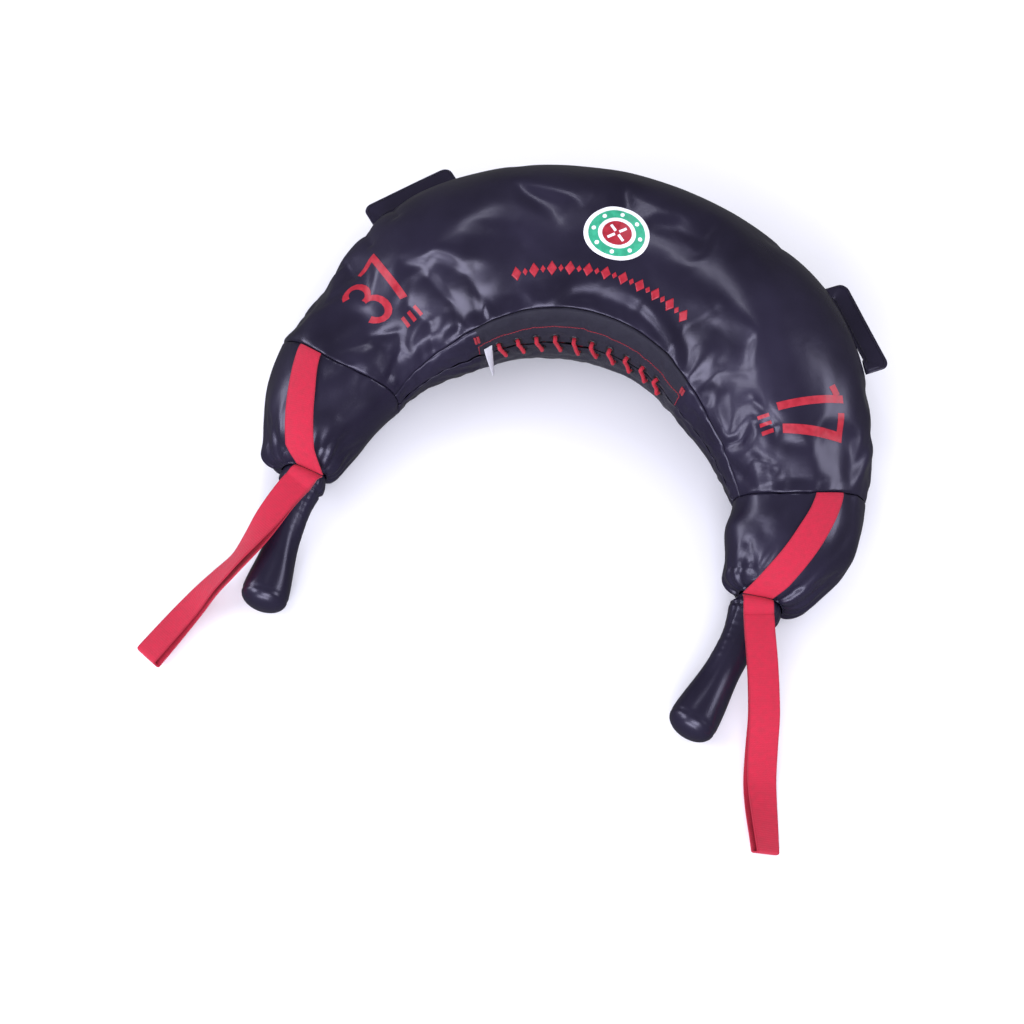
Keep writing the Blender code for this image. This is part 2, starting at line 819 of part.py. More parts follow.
def make_anchor(name, side):
    """The webbing sewn on the cuff, from the ring seam over the neck."""
    rows = []
    columns = spread(-WEBBING_WIDTH / 2, WEBBING_WIDTH / 2, 6)
    lift = ANCHOR_LIFT + WEBBING_THICKNESS / 2
    for share in CUFF_STATION_SHARES[:-2]:
        run = side * (arm_run(side) + LAYER_GAP + CUFF_LENGTH * share)
        angle = ANCHOR_RING_ANGLE + (ANCHOR_MOUTH_ANGLE - ANCHOR_RING_ANGLE) * share
        radius = girth_at(run)[0]
        row = []
        for column in columns:
            row.append(skin_point(run, angle - math.degrees(column / radius), -lift))
        rows.append(row)
    mouth = side * (arm_run(side) + CUFF_LENGTH)
    over = neck_centre(side)
    over.z += NECK_RADIUS + lift
    for back in (ANCHOR_BEND, ANCHOR_REACH):
        middle = over - forward_at(mouth) * back
        rows.append([middle + outward_at(mouth) * column for column in columns])
    shape = bmesh.new()
    thick_sheet(shape, rows, WEBBING_THICKNESS)
    webbing(mesh_object(name + "_anchor_strap", shape))


def loop_turn(side):
    return LEFT_LOOP_TURN if side < 0 else RIGHT_LOOP_TURN


def loop_pivot(side):
    """The fold at the neck that the loop turns about."""
    layers = WEBBING_THICKNESS + LOOP_LAYER_GAP / 2
    aside = RIGHT_LOOP_ASIDE if side > 0 else 0.0
    over = LOOP_ROOT_PLACE + aside * math.tan(math.radians(loop_turn(side)))
    rise = grip_top(side, over) + LOOP_ROOT_GAP + layers
    return pivot_at(side, LOOP_ROOT_PLACE, rise) + grip_heading(side, 90.0) * aside


def loop_heading(side):
    return grip_heading(side, loop_turn(side))


def make_loop(name, side):
    """One length of webbing folded in two: it leaves the neck and lies on the floor."""
    pivot = loop_pivot(side)
    layers = WEBBING_THICKNESS + LOOP_LAYER_GAP / 2
    fall = pivot.z - FLOOR_GAP - layers
    sways = LEFT_SWAY_SHARES if side < 0 else RIGHT_SWAY_SHARES
    half_gap = (WEBBING_THICKNESS + LOOP_LAYER_GAP) / 2
    length = LOOP_LENGTH - half_gap

    def middle(share):
        height = smooth_read(LOOP_PLACE_SHARES, LOOP_HEIGHT_SHARES, share) - 1.0
        sway = np.interp(share, LOOP_PLACE_SHARES, sways)
        return Vector((length * share, LOOP_LENGTH * sway, fall * height))

    def row(share, level, ahead=0.0):
        """Level is 1 on the upper layer and -1 on the lower."""
        slope = middle(min(share + PROBE, 1.0)) - middle(max(share - PROBE, 0.0))
        flat = Vector((slope.x, 0, slope.z)).normalized() if share else Vector((1, 0, 0))
        upright = Vector((-flat.z, 0, flat.x))
        aside = LOOP_SIDE_STEP * side * (1 - level) / 2 * smooth_read((0, 0.4, 1), (0, 0.2, 1), share)
        point = middle(share) + upright * half_gap * level + flat * ahead
        point.y += aside
        return [point + Vector((0, place, 0)) for place in (-WEBBING_WIDTH / 2, 0, WEBBING_WIDTH / 2)]

    shares = spread(0.0, 1.0, LOOP_STEPS)
    rows = [row(share, 1) for share in shares]
    for step in (1, 2, 3):
        bend = math.pi * step / 4
        rows.append(row(1.0, math.cos(bend), half_gap * math.sin(bend)))
    rows += [row(share, -1) for share in reversed(shares)]
    shape = bmesh.new()
    thick_sheet(shape, rows, WEBBING_THICKNESS)
    webbing(put_at(mesh_object(name + "_loop_strap", shape), pivot, loop_heading(side)))


def carry_frame(side):
    """Pivot and axes of a carry loop: along the seam, out from it, and across its thickness."""
    half = CARRY_LENGTH / 2 - CARRY_FOOT
    run = run_at_turn(LEFT_CARRY_TURN if side < 0 else RIGHT_CARRY_TURN)
    step = half * ARM_RADIUS / (ARM_RADIUS + girth_at(run)[0])
    ends = [skin_point(run + part * step, OUTER_SEAM_ANGLE) for part in (-1, 1)]
    along = (ends[1] - ends[0]).normalized()
    swing = math.radians(CARRY_TILT)
    out = outward_at(run) * math.cos(swing) + Vector((0, 0, math.sin(swing)))
    out = (out - along * out.dot(along)).normalized()
    seat = CARRY_SEAT_GAP + CARRY_THICKNESS / 2
    pivot = (ends[0] + ends[1]) / 2 + skin_normal(run, OUTER_SEAM_ANGLE) * seat
    return pivot, along, out, along.cross(out)


def carry_outline():
    """Pairs of points on the inner and outer edge of half the loop, from its foot to its middle."""
    inner = CARRY_LENGTH / 2 - CARRY_FOOT
    outer = CARRY_LENGTH / 2
    slot = CARRY_DEPTH - CARRY_BAND
    small = CARRY_SLOT_CORNER
    pairs = [((inner, 0.0), (outer, 0.0))]
    for step in range(5):
        bend = math.pi / 2 * step / 4
        turn = (math.cos(bend) - 1, math.sin(bend) - 1)
        near = (inner + small * turn[0], slot + small * turn[1])
        far = (outer + CARRY_CORNER * turn[0], CARRY_DEPTH + CARRY_CORNER * turn[1])
        pairs.append((near, far))
    pairs.append(((inner / 2, slot), (outer / 2, CARRY_DEPTH)))
    return pairs


def make_carry(name, side):
    """A flat doubled band, both feet held in the outer seam: it turns about the seam."""
    half = carry_outline()
    pairs = half + [((0.0, half[-1][0][1]), (0.0, half[-1][1][1]))]
    pairs += [((-near[0], near[1]), (-far[0], far[1])) for near, far in reversed(half)]
    radius = CARRY_THICKNESS / 2
    sections = [(near, far, radius) for near, far in pairs]
    for bend in (math.radians(40), math.radians(75)):
        nose = -radius * math.sin(bend)
        thin = radius * math.cos(bend)
        for at, sign in ((0, 1), (len(sections), -1)):
            near, far = pairs[0] if sign > 0 else pairs[-1]
            sections.insert(at, ((near[0], nose), (far[0], nose), thin))
    shape = bmesh.new()
    rings = []
    for near, far, thin in sections:
        corners = ((near, thin), (far, thin), (far, -thin), (near, -thin))
        rings.append([shape.verts.new((*point, level)) for point, level in corners])
    close_rings(shape, rings)
    item = mesh_object(name + "_carry_loop", shape)
    pivot, along, out, across = carry_frame(side)
    turned = Matrix((along, out, across)).transposed()
    item.location = pivot
    item.rotation_euler = turned.to_euler()
    vinyl(item)


def label_turn():
    """Heading of the care label, which hangs beside the first eyelet of the upper row."""
    run, angle = hole_places(1)[0]
    eyelet = skin_point(run, angle)
    reach = math.hypot(eyelet.x, eyelet.y + MIDDLE_RADIUS)
    step = eyelet_bore() + EYELET_WALL + LABEL_EYELET_GAP + LABEL_WIDTH / 2
    return lace_turns()[0] - math.degrees(step / reach)


def label_frame():
    """Pivot and axes of the care label: across it, down it, and away from the bag."""
    run = run_at_turn(label_turn())
    angle = upper_seam(run) + LABEL_SEAM_STEP
    pivot = skin_point(run, angle, -LABEL_GAP - LABEL_THICKNESS)
    normal = skin_normal(run, angle)
    across = (forward_at(run) * -math.copysign(1.0, run)).normalized()
    across = (across - normal * across.dot(normal)).normalized()
    down = across.cross(normal)
    down = down if down.z < 0 else -down
    lean = math.radians(LABEL_LEAN)
    down = (down * math.cos(lean) + normal * math.sin(lean)).normalized()
    return pivot, across, down, across.cross(down)


def make_label():
    """A small care label sewn by its top edge."""
    shape = bmesh.new()
    bmesh.ops.create_cube(shape, size=1.0)
    size = (LABEL_WIDTH, LABEL_LENGTH, LABEL_THICKNESS)
    bmesh.ops.scale(shape, vec=size, verts=shape.verts[:])
    bmesh.ops.translate(shape, vec=(0, LABEL_LENGTH / 2, 0), verts=shape.verts[:])
    item = mesh_object("care_label", shape)
    pivot, across, down, away = label_frame()
    item.location = pivot
    item.rotation_euler = Matrix((across, down, away)).transposed().to_euler()
    finish(item, (0.85, 0.85, 0.83), 0.8)


def main():
    clear_scene()
    make_cover()
    make_eyelets()
    make_lacing()
    make_filling()
    make_label()
    for name, side in (("left", -1), ("right", 1)):
        make_cuff(name, side)
        make_cuff_padding(name, side)
        make_anchor(name, side)
        make_neck(name, side)
        make_grip(name, side)
        make_loop(name, side)
        make_carry(name, side)


if __name__ == "__main__":
    main()
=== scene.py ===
"""Crescent sandbag trainer: the cloth, webbing, lace and thread that dress the bag's solids.

A run is a distance along the bag's axis from its middle, left negative. An angle goes round the
section: 0 points outwards, 90 up, 180 into the hollow and 270 down. A lift is out of the skin.
"""

import math

import bmesh
import bpy
import numpy as np
from bpy.props import FloatProperty, FloatVectorProperty, IntProperty, PointerProperty
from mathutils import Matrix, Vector


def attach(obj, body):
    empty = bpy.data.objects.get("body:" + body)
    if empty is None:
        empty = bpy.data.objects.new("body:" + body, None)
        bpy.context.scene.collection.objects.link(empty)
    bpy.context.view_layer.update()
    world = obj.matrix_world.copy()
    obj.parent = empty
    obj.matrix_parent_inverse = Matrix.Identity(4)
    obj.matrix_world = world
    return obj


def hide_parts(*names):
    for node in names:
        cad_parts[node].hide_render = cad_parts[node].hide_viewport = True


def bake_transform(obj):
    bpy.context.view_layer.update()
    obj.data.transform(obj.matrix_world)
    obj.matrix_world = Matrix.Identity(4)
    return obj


bl_info = {
    "name": "Crescent sandbag trainer",
    "version": (1, 0, 0),
    "blender": (4, 5, 0),
    "location": "3D View > Sidebar > Sandbag",
    "description": "Makes the cover, lacing, grips and webbing of a crescent sandbag trainer",
    "category": "Add Mesh",
}

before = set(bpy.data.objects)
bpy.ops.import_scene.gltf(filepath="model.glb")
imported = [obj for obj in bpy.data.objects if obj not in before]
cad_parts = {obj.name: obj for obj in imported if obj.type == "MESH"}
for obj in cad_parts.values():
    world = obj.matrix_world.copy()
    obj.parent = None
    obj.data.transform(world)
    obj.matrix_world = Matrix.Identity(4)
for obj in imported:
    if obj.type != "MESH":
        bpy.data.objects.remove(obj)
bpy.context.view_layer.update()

# Axis of the bag in plan, as in the solids
MIDDLE_RADIUS = 0.267
MIDDLE_TURN = 39.0
ARM_RADIUS = 0.293
ARM_RUNS = {-1: 0.346, 1: 0.382}
CUFF_LENGTH = 0.119
NECK_SHIFTS = {-1: -0.005, 1: -0.020}

# Filled section
HALF_WIDTH = 0.109
HALF_HEIGHT = 0.0995
RING_HALF_HEIGHT = 0.066
SHOULDER_HALF_HEIGHT = 0.054
SINK_SHARE = 0.955
STATIONS = (0.0, 0.30, 0.60, 0.85, 1.0)
WIDTH_SHARES = {-1: (1.0, 0.995, 0.94, 0.745, 0.70), 1: (1.0, 0.995, 0.98, 0.81, 0.66)}
SHOULDER_SHARES = {-1: 0.65, 1: 0.88}
BLUNT_POWER = 5.0

# Slant of the ring seams: angle, spread and distance towards the neck
RING_REACH = 0.058
RING_LEANS = {
    -1: ((88.0, 44.0, 0.011), (165.0, 32.0, -0.008), (25.0, 30.0, 0.004)),
    1: ((100.0, 52.0, 0.014), (180.0, 30.0, -0.003)),
}

# Shape of the cuff by the neck: place and angle, spreads of both, and how far the cloth stands out
CUFF_SHAPES = {
    -1: ((0.96, 15.0, 0.10, 34.0, 0.010), (0.78, 172.0, 0.16, 42.0, -0.005)),
    1: (
        (0.96, 168.0, 0.10, 34.0, 0.0030),
        (0.36, 174.0, 0.22, 44.0, 0.0070),
        (0.78, 8.0, 0.18, 44.0, -0.0095),
    ),
}

# Seams
OUTER_SEAM = 10.0
UPPER_SEAM = (148.0, 162.0)
LOWER_SEAM = (221.0, 208.0)
LACING_ANGLE = 177.0
CLOSURE_SLIT = 0.0036
COVER_THICKNESS = 0.0025

# Mesh of the panels: trim in degrees at each long seam, in metres at the ring seams, and rows near an edge
PANEL_TRIM = 0.12
PANEL_THICKNESS = 0.0014
RING_TRIM = 0.0002
EDGE_REACH = 0.0045
EDGE_PLACES = np.array([0.0, 0.00025, 0.0007, 0.0013, 0.002, 0.003])

# Lowest level over the floor of a cloth's face and of its back
LOWEST_FACE = 0.0003
LOWEST_BACK = 0.0002

# Lacing
LACE_CLEARANCE = 0.0005
LACE_BEND = 0.0028
ROW_SPACING = 0.0215
PITCH_TURN = 7.6
LACING_MIDDLE_TURN = 4.0
LACE_LEAN_SHARE = 0.30
LACE_STITCHES = 10
BAND_ENDS = (-42.0, 46.5)
FLAP_WIDTH = 0.066
FLAP_DEPTH = 0.0087
FLAP_THICKNESS = 0.002
FLAP_HALF_TURN = 39
TOP_STITCH_STEP = 0.0236

# Stitches: pitch, length, thread and, for a bar tack, the turn of each
TOP_STITCH = (0.0036, 0.0028, 0.0008)
BAR_TACK = (0.0008, 0.0026, 0.0008, math.pi / 2.3)
CARRY_STITCH = (0.0036, 0.0027, 0.0007)

# Neck and grip
NECK_RADIUS = 0.026
NECK_HEIGHT = 0.046
NECK_FRONT = 0.008
MOUTH_RADIUS = 0.026
RUNNING_GAP = 0.0004
CUFF_LIPS = ((-0.0114, 0.0268, 0.0016), (-0.0106, 0.0258, 0.0010), (-0.0112, 0.0248, 0.0006))
GRIP_LENGTHS = {-1: 0.149, 1: 0.156}
GRIP_TURNS = {-1: -7.0, 1: 6.5}
GRIP_ROOT_RADIUS = 0.0235
GRIP_RADIUS = 0.0190
KNOB_RADIUS = 0.0262
FLOOR_GAP = 0.0003
FLARE_SHARE = 0.24
SWELL_START = 0.40
SWELL_SHARE = 0.50
CAP_SHARE = 0.14
KNOB_RING_SHARE = 0.885
GRIP_SEAM_ANGLE = 200.0
GRIP_GATHER_ANGLES = {-1: 30.0, 1: 150.0}
GRIP_BULGES = {-1: 0.0, 1: 0.0064}

# Webbing
ANCHOR_ANGLES = (70.0, 90.0)
ANCHOR_LIFT = 0.0008
LOOP_LENGTH = 0.240
LOOP_LAYER_GAP = 0.0012
LOOP_SIDE_STEP = 0.004
LOOP_ROOT_PLACE = 0.013
LOOP_ROOT_GAP = 0.0003
FOLD_BACK = 0.0215
FOLD_RISE = 0.0006
LOOP_ASIDES = {-1: 0.0, 1: 0.006}
LOOP_TURNS = {-1: 26.0, 1: 32.0}
LOOP_PLACES = (0.0, 0.08, 0.2, 0.32, 0.44, 0.56, 0.70, 1.0)
LOOP_HEIGHTS = (1.0, 0.99, 0.94, 0.85, 0.69, 0.38, 0.08, 0.0)
SWAYS = {
    -1: (0.0, 0.005, 0.02, 0.034, 0.034, 0.004, -0.014, 0.0),
    1: (0.0, 0.0, 0.004, 0.006, 0.006, 0.0, -0.006, 0.0),
}
ROLLS = {
    -1: (0.0, 0.1, 0.35, 0.8, 1.1, 0.95, 0.60, 0.40),
    1: (0.0, 0.0, 0.03, 0.08, 0.10, 0.16, 0.36, 0.85),
}

# Carry loops and label
CARRY_TURNS = {-1: -38.0, 1: 49.0}
CARRY_LENGTH = 0.112
CARRY_DEPTH = 0.028
CARRY_SLOT = 0.0012
CARRY_FOOT = 0.017
CARRY_THICKNESS = 0.0040
CARRY_CORNER = 0.010
CARRY_TILT = -10.0
CARRY_STITCH_SHARES = (0.14, 0.86)
LABEL_TURN = -38.4
LABEL_SEAM_STEP = 17.0
LABEL_GAP = 0.0003
LABEL_LEAN = 4.0
LABEL_THICKNESS = 0.0006

# Prints: turn, angle and lean of their middles
PRINT_LIFT = 0.0003
PATCH_LIFT = 0.00035
PATCH_MARK_LIFT = 0.0005
LEFT_FIGURES = (-56.2, 85.5, -2.0)
RIGHT_FIGURES = (65.6, 83.2, 0.0)
UNIT_BARS = {"left": (-54.6, 119.0, 2.0), "right": (66.0, 117.0, 0.0)}
UNIT_BAR = (0.013, 0.0035, 0.0075)
MOTIF_PLACE = (3.0, 122.0, 0.0)
PATCH_PLACE = (3.0, 96.5, 0.0)
PATCH_DOTS = (0.02625, 0.0024)
PATCH_RADII = (0.0365, 0.0315, 0.021, 0.0165, 0.0)
PATCH_SQUASH = 0.86

# Stage
FLOOR_HALF = 6.0
AIM_HEIGHT = 0.05
LIGHT_COLOUR = (0.84, 0.84, 1.0)

PROBE = 1e-5
UP = np.array([0.0, 0.0, 1.0])
SIDES = (("left", -1), ("right", 1))


# ---------------------------------------------------------------- the filled skin

def angle_between(angle, middle):
    """Signed difference of two angles, from -180 to 180 degrees."""
    return (angle - middle + 180.0) % 360.0 - 180.0


def ramp(value, start, length):
    """0 up to the start, 1 from a length beyond it, and straight between."""
    return np.clip((value - start) / length, 0.0, 1.0)


def eased(share):
    """A share from 0 to 1 with a soft start and end."""
    return share * share * (3 - 2 * share)


def hill(off, spread):
    """1 at no distance, falling softly to nothing over the spread."""
    return np.exp(-((off / spread) ** 2))


def unit(v):
    return v / np.maximum(np.linalg.norm(v, axis=-1, keepdims=True), 1e-12)


def paired(run, angle):
    """Runs and angles as arrays of one shape."""
    return np.broadcast_arrays(np.asarray(run, float), np.asarray(angle, float))


def smooth_read(stations, values, at):
    """A smooth curve through the values, flat at its first station."""
    x, y = np.asarray(stations, float), np.asarray(values, float)
    slopes = np.diff(y) / np.diff(x)
    tangents = np.concatenate([[0.0], (slopes[:-1] + slopes[1:]) / 2, [slopes[-1]]])
    at = np.clip(at, x[0], x[-1])
    cell = np.clip(np.searchsorted(x, at) - 1, 0, len(x) - 2)
    width = x[cell + 1] - x[cell]
    t = (at - x[cell]) / width
    first = y[cell] * (2 * t**3 - 3 * t**2 + 1) + y[cell + 1] * (3 * t**2 - 2 * t**3)
    return first + width * (tangents[cell] * (t**3 - 2 * t**2 + t) + tangents[cell + 1] * (t**3 - t**2))


def by_side(run, pair):
    return np.where(run < 0, pair[-1], pair[1])


def axis_at(run):
    """Plan x and y of the axis, its turn from the middle, and the side."""
    run = np.asarray(run, float)
    side = np.where(run < 0, -1.0, 1.0)
    reach = np.abs(run)
    bend = math.radians(MIDDLE_TURN)
    first = np.minimum(reach / MIDDLE_RADIUS, bend)
    turn = first + np.maximum(reach - MIDDLE_RADIUS * bend, 0.0) / ARM_RADIUS
    aside = by_side(run, NECK_SHIFTS) * ramp(reach, by_side(run, ARM_RUNS), CUFF_LENGTH) ** 2
    x = MIDDLE_RADIUS * np.sin(first) + ARM_RADIUS * (np.sin(turn) - np.sin(first)) + aside * np.sin(turn)
    y = -MIDDLE_RADIUS * (1 - np.cos(first)) + ARM_RADIUS * (np.cos(turn) - np.cos(first))
    return side * x, y + aside * np.cos(turn), turn, side


def outward_at(run):
    turn, side = axis_at(run)[2:]
    return np.stack([side * np.sin(turn), np.cos(turn), 0 * turn], -1)


def forward_at(run):
    turn, side = axis_at(run)[2:]
    return np.stack([side * np.cos(turn), -np.sin(turn), 0 * turn], -1)


def girth_at(run):
    """Half-width, half-height and level of the axis of the section."""
    run = np.asarray(run, float)
    reach, ring = np.abs(run), by_side(run, ARM_RUNS)
    along = np.minimum(reach / ring, 1.0)
    shares = {side: smooth_read(STATIONS, WIDTH_SHARES[side], along) for side in (-1, 1)}
    wide = HALF_WIDTH * by_side(run, shares)
    drop = 1.0 - by_side(run, {side: WIDTH_SHARES[side][-1] for side in (-1, 1)})
    high = HALF_HEIGHT + (RING_HALF_HEIGHT - HALF_HEIGHT) * (1.0 - wide / HALF_WIDTH) / drop
    cuff = ramp(reach, ring, CUFF_LENGTH)
    blunt = np.sqrt(np.maximum(1.0 - cuff**BLUNT_POWER, 0.0))
    wide_end = wide * (1.0 + (by_side(run, SHOULDER_SHARES) - 1.0) * cuff)
    high_end = high + (SHOULDER_HALF_HEIGHT - high) * cuff
    level = high * SINK_SHARE
    inside = reach <= ring
    return (
        np.where(inside, wide, MOUTH_RADIUS + (wide_end - MOUTH_RADIUS) * blunt),
        np.where(inside, high, MOUTH_RADIUS + (high_end - MOUTH_RADIUS) * blunt),
        np.where(inside, level, NECK_HEIGHT + (level - NECK_HEIGHT) * (1.0 - cuff**2)),
    )


def skin_raw(run, angle):
    run, angle = paired(run, angle)
    wide, high, level = girth_at(run)
    x, y = axis_at(run)[:2]
    swing = np.radians(angle)
    reach = outward_at(run) * (wide * np.cos(swing))[..., None]
    return reach + np.stack([x, y, level + high * np.sin(swing)], -1)


def skin_normal(run, angle):
    run, angle = paired(run, angle)
    along = skin_raw(run + PROBE, angle) - skin_raw(run - PROBE, angle)
    step = math.degrees(PROBE / HALF_WIDTH)
    around = skin_raw(run, angle + step) - skin_raw(run, angle - step)
    normal = unit(np.cross(along, around))
    x, y = axis_at(run)[:2]
    middle = np.stack([x, y, girth_at(run)[2]], -1)
    out = np.sum(normal * (skin_raw(run, angle) - middle), -1, keepdims=True)
    return normal * np.sign(out)


def seam_angle(run, pair):
    along = np.minimum(np.abs(run) / by_side(run, ARM_RUNS), 1.0)
    return pair[0] + (pair[1] - pair[0]) * along**2


def leaned(run, angle):
    """The run, with the ring seam drawn along the arm: the cuffs are sewn on at a slant."""
    run, angle = paired(run, angle)
    off = np.clip((np.abs(run) - by_side(run, ARM_RUNS)) / RING_REACH, -1.0, 1.0)
    leans = {side: side * sum(far * hill(angle_between(angle, at), wide) for at, wide, far in RING_LEANS[side])
             for side in (-1, 1)}
    return run + (1.0 - off**2) ** 2 * by_side(run, leans)


def upper_seam(run):
    return seam_angle(run, UPPER_SEAM)


def lower_seam(run):
    return seam_angle(run, LOWER_SEAM)


def run_at_turn(turn):
    wanted, bend = np.radians(np.abs(turn)), math.radians(MIDDLE_TURN)
    return np.sign(turn) * (MIDDLE_RADIUS * np.minimum(wanted, bend) + ARM_RADIUS * np.maximum(wanted - bend, 0))


def arc_scale(run, angle):
    """Metres of skin for each degree round the section, and for each metre of run."""
    wide, high = girth_at(run)[:2]
    swing = np.radians(angle)
    round_ = np.hypot(wide * np.sin(swing), high * np.cos(swing)) * math.pi / 180
    radius = np.where(np.abs(run) < MIDDLE_RADIUS * math.radians(MIDDLE_TURN), MIDDLE_RADIUS, ARM_RADIUS)
    return round_, 1.0 + wide * np.cos(swing) / radius


# Creases pressed into the cover: turn and angle of each point, then width and depth in millimetres
CREASES = (
    (((-64, 108), (-59, 121), (-61, 133), (-67, 142)), 7.0, 3.4),
    (((-54, 150), (-52, 132), (-54, 112)), 9.0, 3.6),
    (((-46, 150), (-45, 130), (-47, 106)), 9.0, 3.6),
    (((-37, 148), (-36, 132), (-38, 116)), 10.0, 2.4),
    (((-70, 96), (-66, 108), (-64, 120)), 9.0, 2.0),
    (((-24, 146), (-24, 132), (-21, 112)), 13.0, 2.2),
    (((-6, 144), (-6, 128), (-3, 112)), 13.0, 1.6),
    (((16, 144), (17, 128), (14, 112)), 12.0, 1.8),
    (((33, 148), (32, 130), (36, 110)), 11.0, 2.6),
    (((50, 150), (49, 134), (54, 116)), 10.0, 2.8),
    (((66, 154), (67, 140), (64, 126), (67, 112)), 7.0, 3.8),
    (((74, 150), (72, 134), (75, 118)), 7.0, 3.0),
    (((60, 120), (65, 112), (69, 114)), 6.0, 2.4),
    (((71, 104), (72, 90), (69, 76)), 9.0, 2.0),
    (((-58, 16), (-55, 38), (-57, 56)), 7.0, 4.2),
    (((-50.5, 12), (-49, 34), (-50.5, 52)), 6.0, 4.4),
    (((-43.5, 14), (-43, 34), (-44, 50)), 6.0, 3.6),
    (((-66, 14), (-65, 36)), 6.0, 3.0),
    (((33, 20), (31, 40)), 9.0, 2.2),
    (((-18, 18), (-19, 34)), 9.0, 1.6),
)


# Puckers beside the outer, upper and lower seam: share of their depth, wave length, seed and spread
PUCKERS = ((1.0, 0.033, 1.0, 0.014), (0.7, 0.040, 2.0, 0.012), (0.8, 0.030, 3.0, 0.012))


def rough_wave(at, seed):
    """A smooth irregular wave of about one unit's length, between -1 and 1."""
    return (
        np.sin(2 * math.pi * at + seed)
        + 0.7 * np.sin(2 * math.pi * at * 0.57 + 2.1 * seed)
        + 0.5 * np.sin(2 * math.pi * at * 1.63 + 4.7 * seed + 1.3 * np.sin(at * 0.9 + seed))
    ) / 2.2


def line_distance(points, start, end):
    """Distance of points from a straight line between two points."""
    line = end - start
    share = np.clip((points - start) @ line / max(float(line @ line), 1e-12), 0.0, 1.0)
    return np.linalg.norm(points - start - share[..., None] * line, axis=-1)


def pressed(off):
    """Depth share of a crease at a distance in widths: a narrow valley between broad slopes."""
    return np.exp((0.346 - np.sqrt(off**2 + 0.12)) / 0.85)


def creased(points, creases, run_of):
    """Lift of the skin at creases, each with a path of places, which run_of turns to runs, and angles."""
    lift = np.zeros(points.shape[:-1])
    for path, width, depth in creases:
        places, angles = np.array(path, float).T
        line = skin_raw(run_of(places), angles)
        off = np.min([line_distance(points, start, end) for start, end in zip(line, line[1:])], axis=0)
        lift -= depth / 1000 * pressed(off * 1000 / width)
    return lift


def rolled(distance, radius):
    """How far an edge turns in, at a distance from its seam."""
    inside = np.clip(1.0 - distance / radius, 0.0, 1.0)
    return -radius * (1.0 - np.sqrt(1.0 - inside**2))


def seam_distances(run, angle):
    """Distance from the three long seams and from the ring seam."""
    round_ = arc_scale(run, angle)[0]
    return (
        np.abs(angle_between(angle, OUTER_SEAM)) * round_,
        np.abs(angle - upper_seam(run)) * round_,
        np.abs(angle - lower_seam(run)) * round_,
        np.abs(np.abs(run) - by_side(run, ARM_RUNS)),
    )


def ripple(run, angle):
    """Lift of the cloth over the plain skin: rolled seams, puckers, creases and the lumpy filling."""
    look = bpy.context.scene.sandbag_cover
    outer, upper, lower, ring = seam_distances(run, angle)
    length = run * arc_scale(run, angle)[1]
    lift = rolled(np.minimum(outer, np.minimum(upper, lower)), look.seam_roll)
    lift = np.minimum(lift, rolled(ring, look.seam_roll))
    for off, (share, wave, seed, spread) in zip((outer, upper, lower), PUCKERS):
        lift += look.pucker_depth * share * rough_wave(length / wave, seed) * np.exp(-off / spread)
    lift += look.pucker_depth * 0.7 * rough_wave(angle / 22.5, 4.0 + np.sign(run)) * np.exp(-ring / 0.010)
    inner = hill(angle - 130.0, 20.0) + 0.8 * hill(angle - 236.0, 24.0)
    folds = rough_wave(length / 0.062 + 0.25 * np.sin(angle / 17.0), 5.0)
    lift += look.fold_depth * inner * folds * (0.35 + 0.65 * np.clip(np.abs(run) / 0.30, 0, 1))
    lumps = rough_wave(length / 0.120 + 0.8 * np.sin(angle / 31.0), 6.0) * rough_wave(angle / 66.0, 7.0)
    return lift + look.lump_depth * lumps


SWELL = {}


def swell(run, angle):
    """Movement of the cloth that the simulation found, read from its grid."""
    if "field" not in SWELL:
        return 0.0
    rows = np.interp(run, SWELL["runs"], np.arange(len(SWELL["runs"])))
    return cubic_read(SWELL["field"], rows, column_of(run, angle))


def cubic_read(field, rows, columns):
    """A smooth reading of a grid that closes on itself from last column to first."""
    count, around = field.shape[:2]
    r0 = np.clip(np.floor(rows).astype(int), 0, count - 2)
    c0 = np.floor(columns).astype(int)
    tr, tc = rows - r0, columns - c0

    def weights(t):
        return (
            -0.5 * t + t**2 - 0.5 * t**3,
            1 - 2.5 * t**2 + 1.5 * t**3,
            0.5 * t + 2 * t**2 - 1.5 * t**3,
            -0.5 * t**2 + 0.5 * t**3,
        )

    total = 0.0
    for i, wr in enumerate(weights(tr)):
        row = np.clip(r0 + i - 1, 0, count - 1)
        for j, wc in enumerate(weights(tc)):
            total = total + (wr * wc)[..., None] * field[row, (c0 + j - 1) % around]
    return total


PANEL_COLUMNS = (50, 28, 50)
CLOTH_ROWS = 150
CLOTH_FRAMES = 20


def column_of(run, angle):
    """Column of the simulated grid for an angle, with the seams on whole columns."""
    turn = (np.asarray(angle, float) - OUTER_SEAM) % 360.0
    first, second = upper_seam(run) - OUTER_SEAM, lower_seam(run) - OUTER_SEAM
    top, band, bottom = PANEL_COLUMNS
    low = turn / first * top
    middle = top + (turn - first) / (second - first) * band
    high = top + band + (turn - second) / (360.0 - second) * bottom
    return np.where(turn < first, low, np.where(turn < second, middle, high))


def angle_of(run, column):
    """Angle of a column of the simulated grid."""
    first, second = upper_seam(run), lower_seam(run)
    top, band, bottom = PANEL_COLUMNS
    low = OUTER_SEAM + (first - OUTER_SEAM) * column / top
    middle = first + (second - first) * (column - top) / band
    high = second + (OUTER_SEAM + 360.0 - second) * (column - top - band) / bottom
    return np.where(column < top, low, np.where(column < top + band, middle, high))


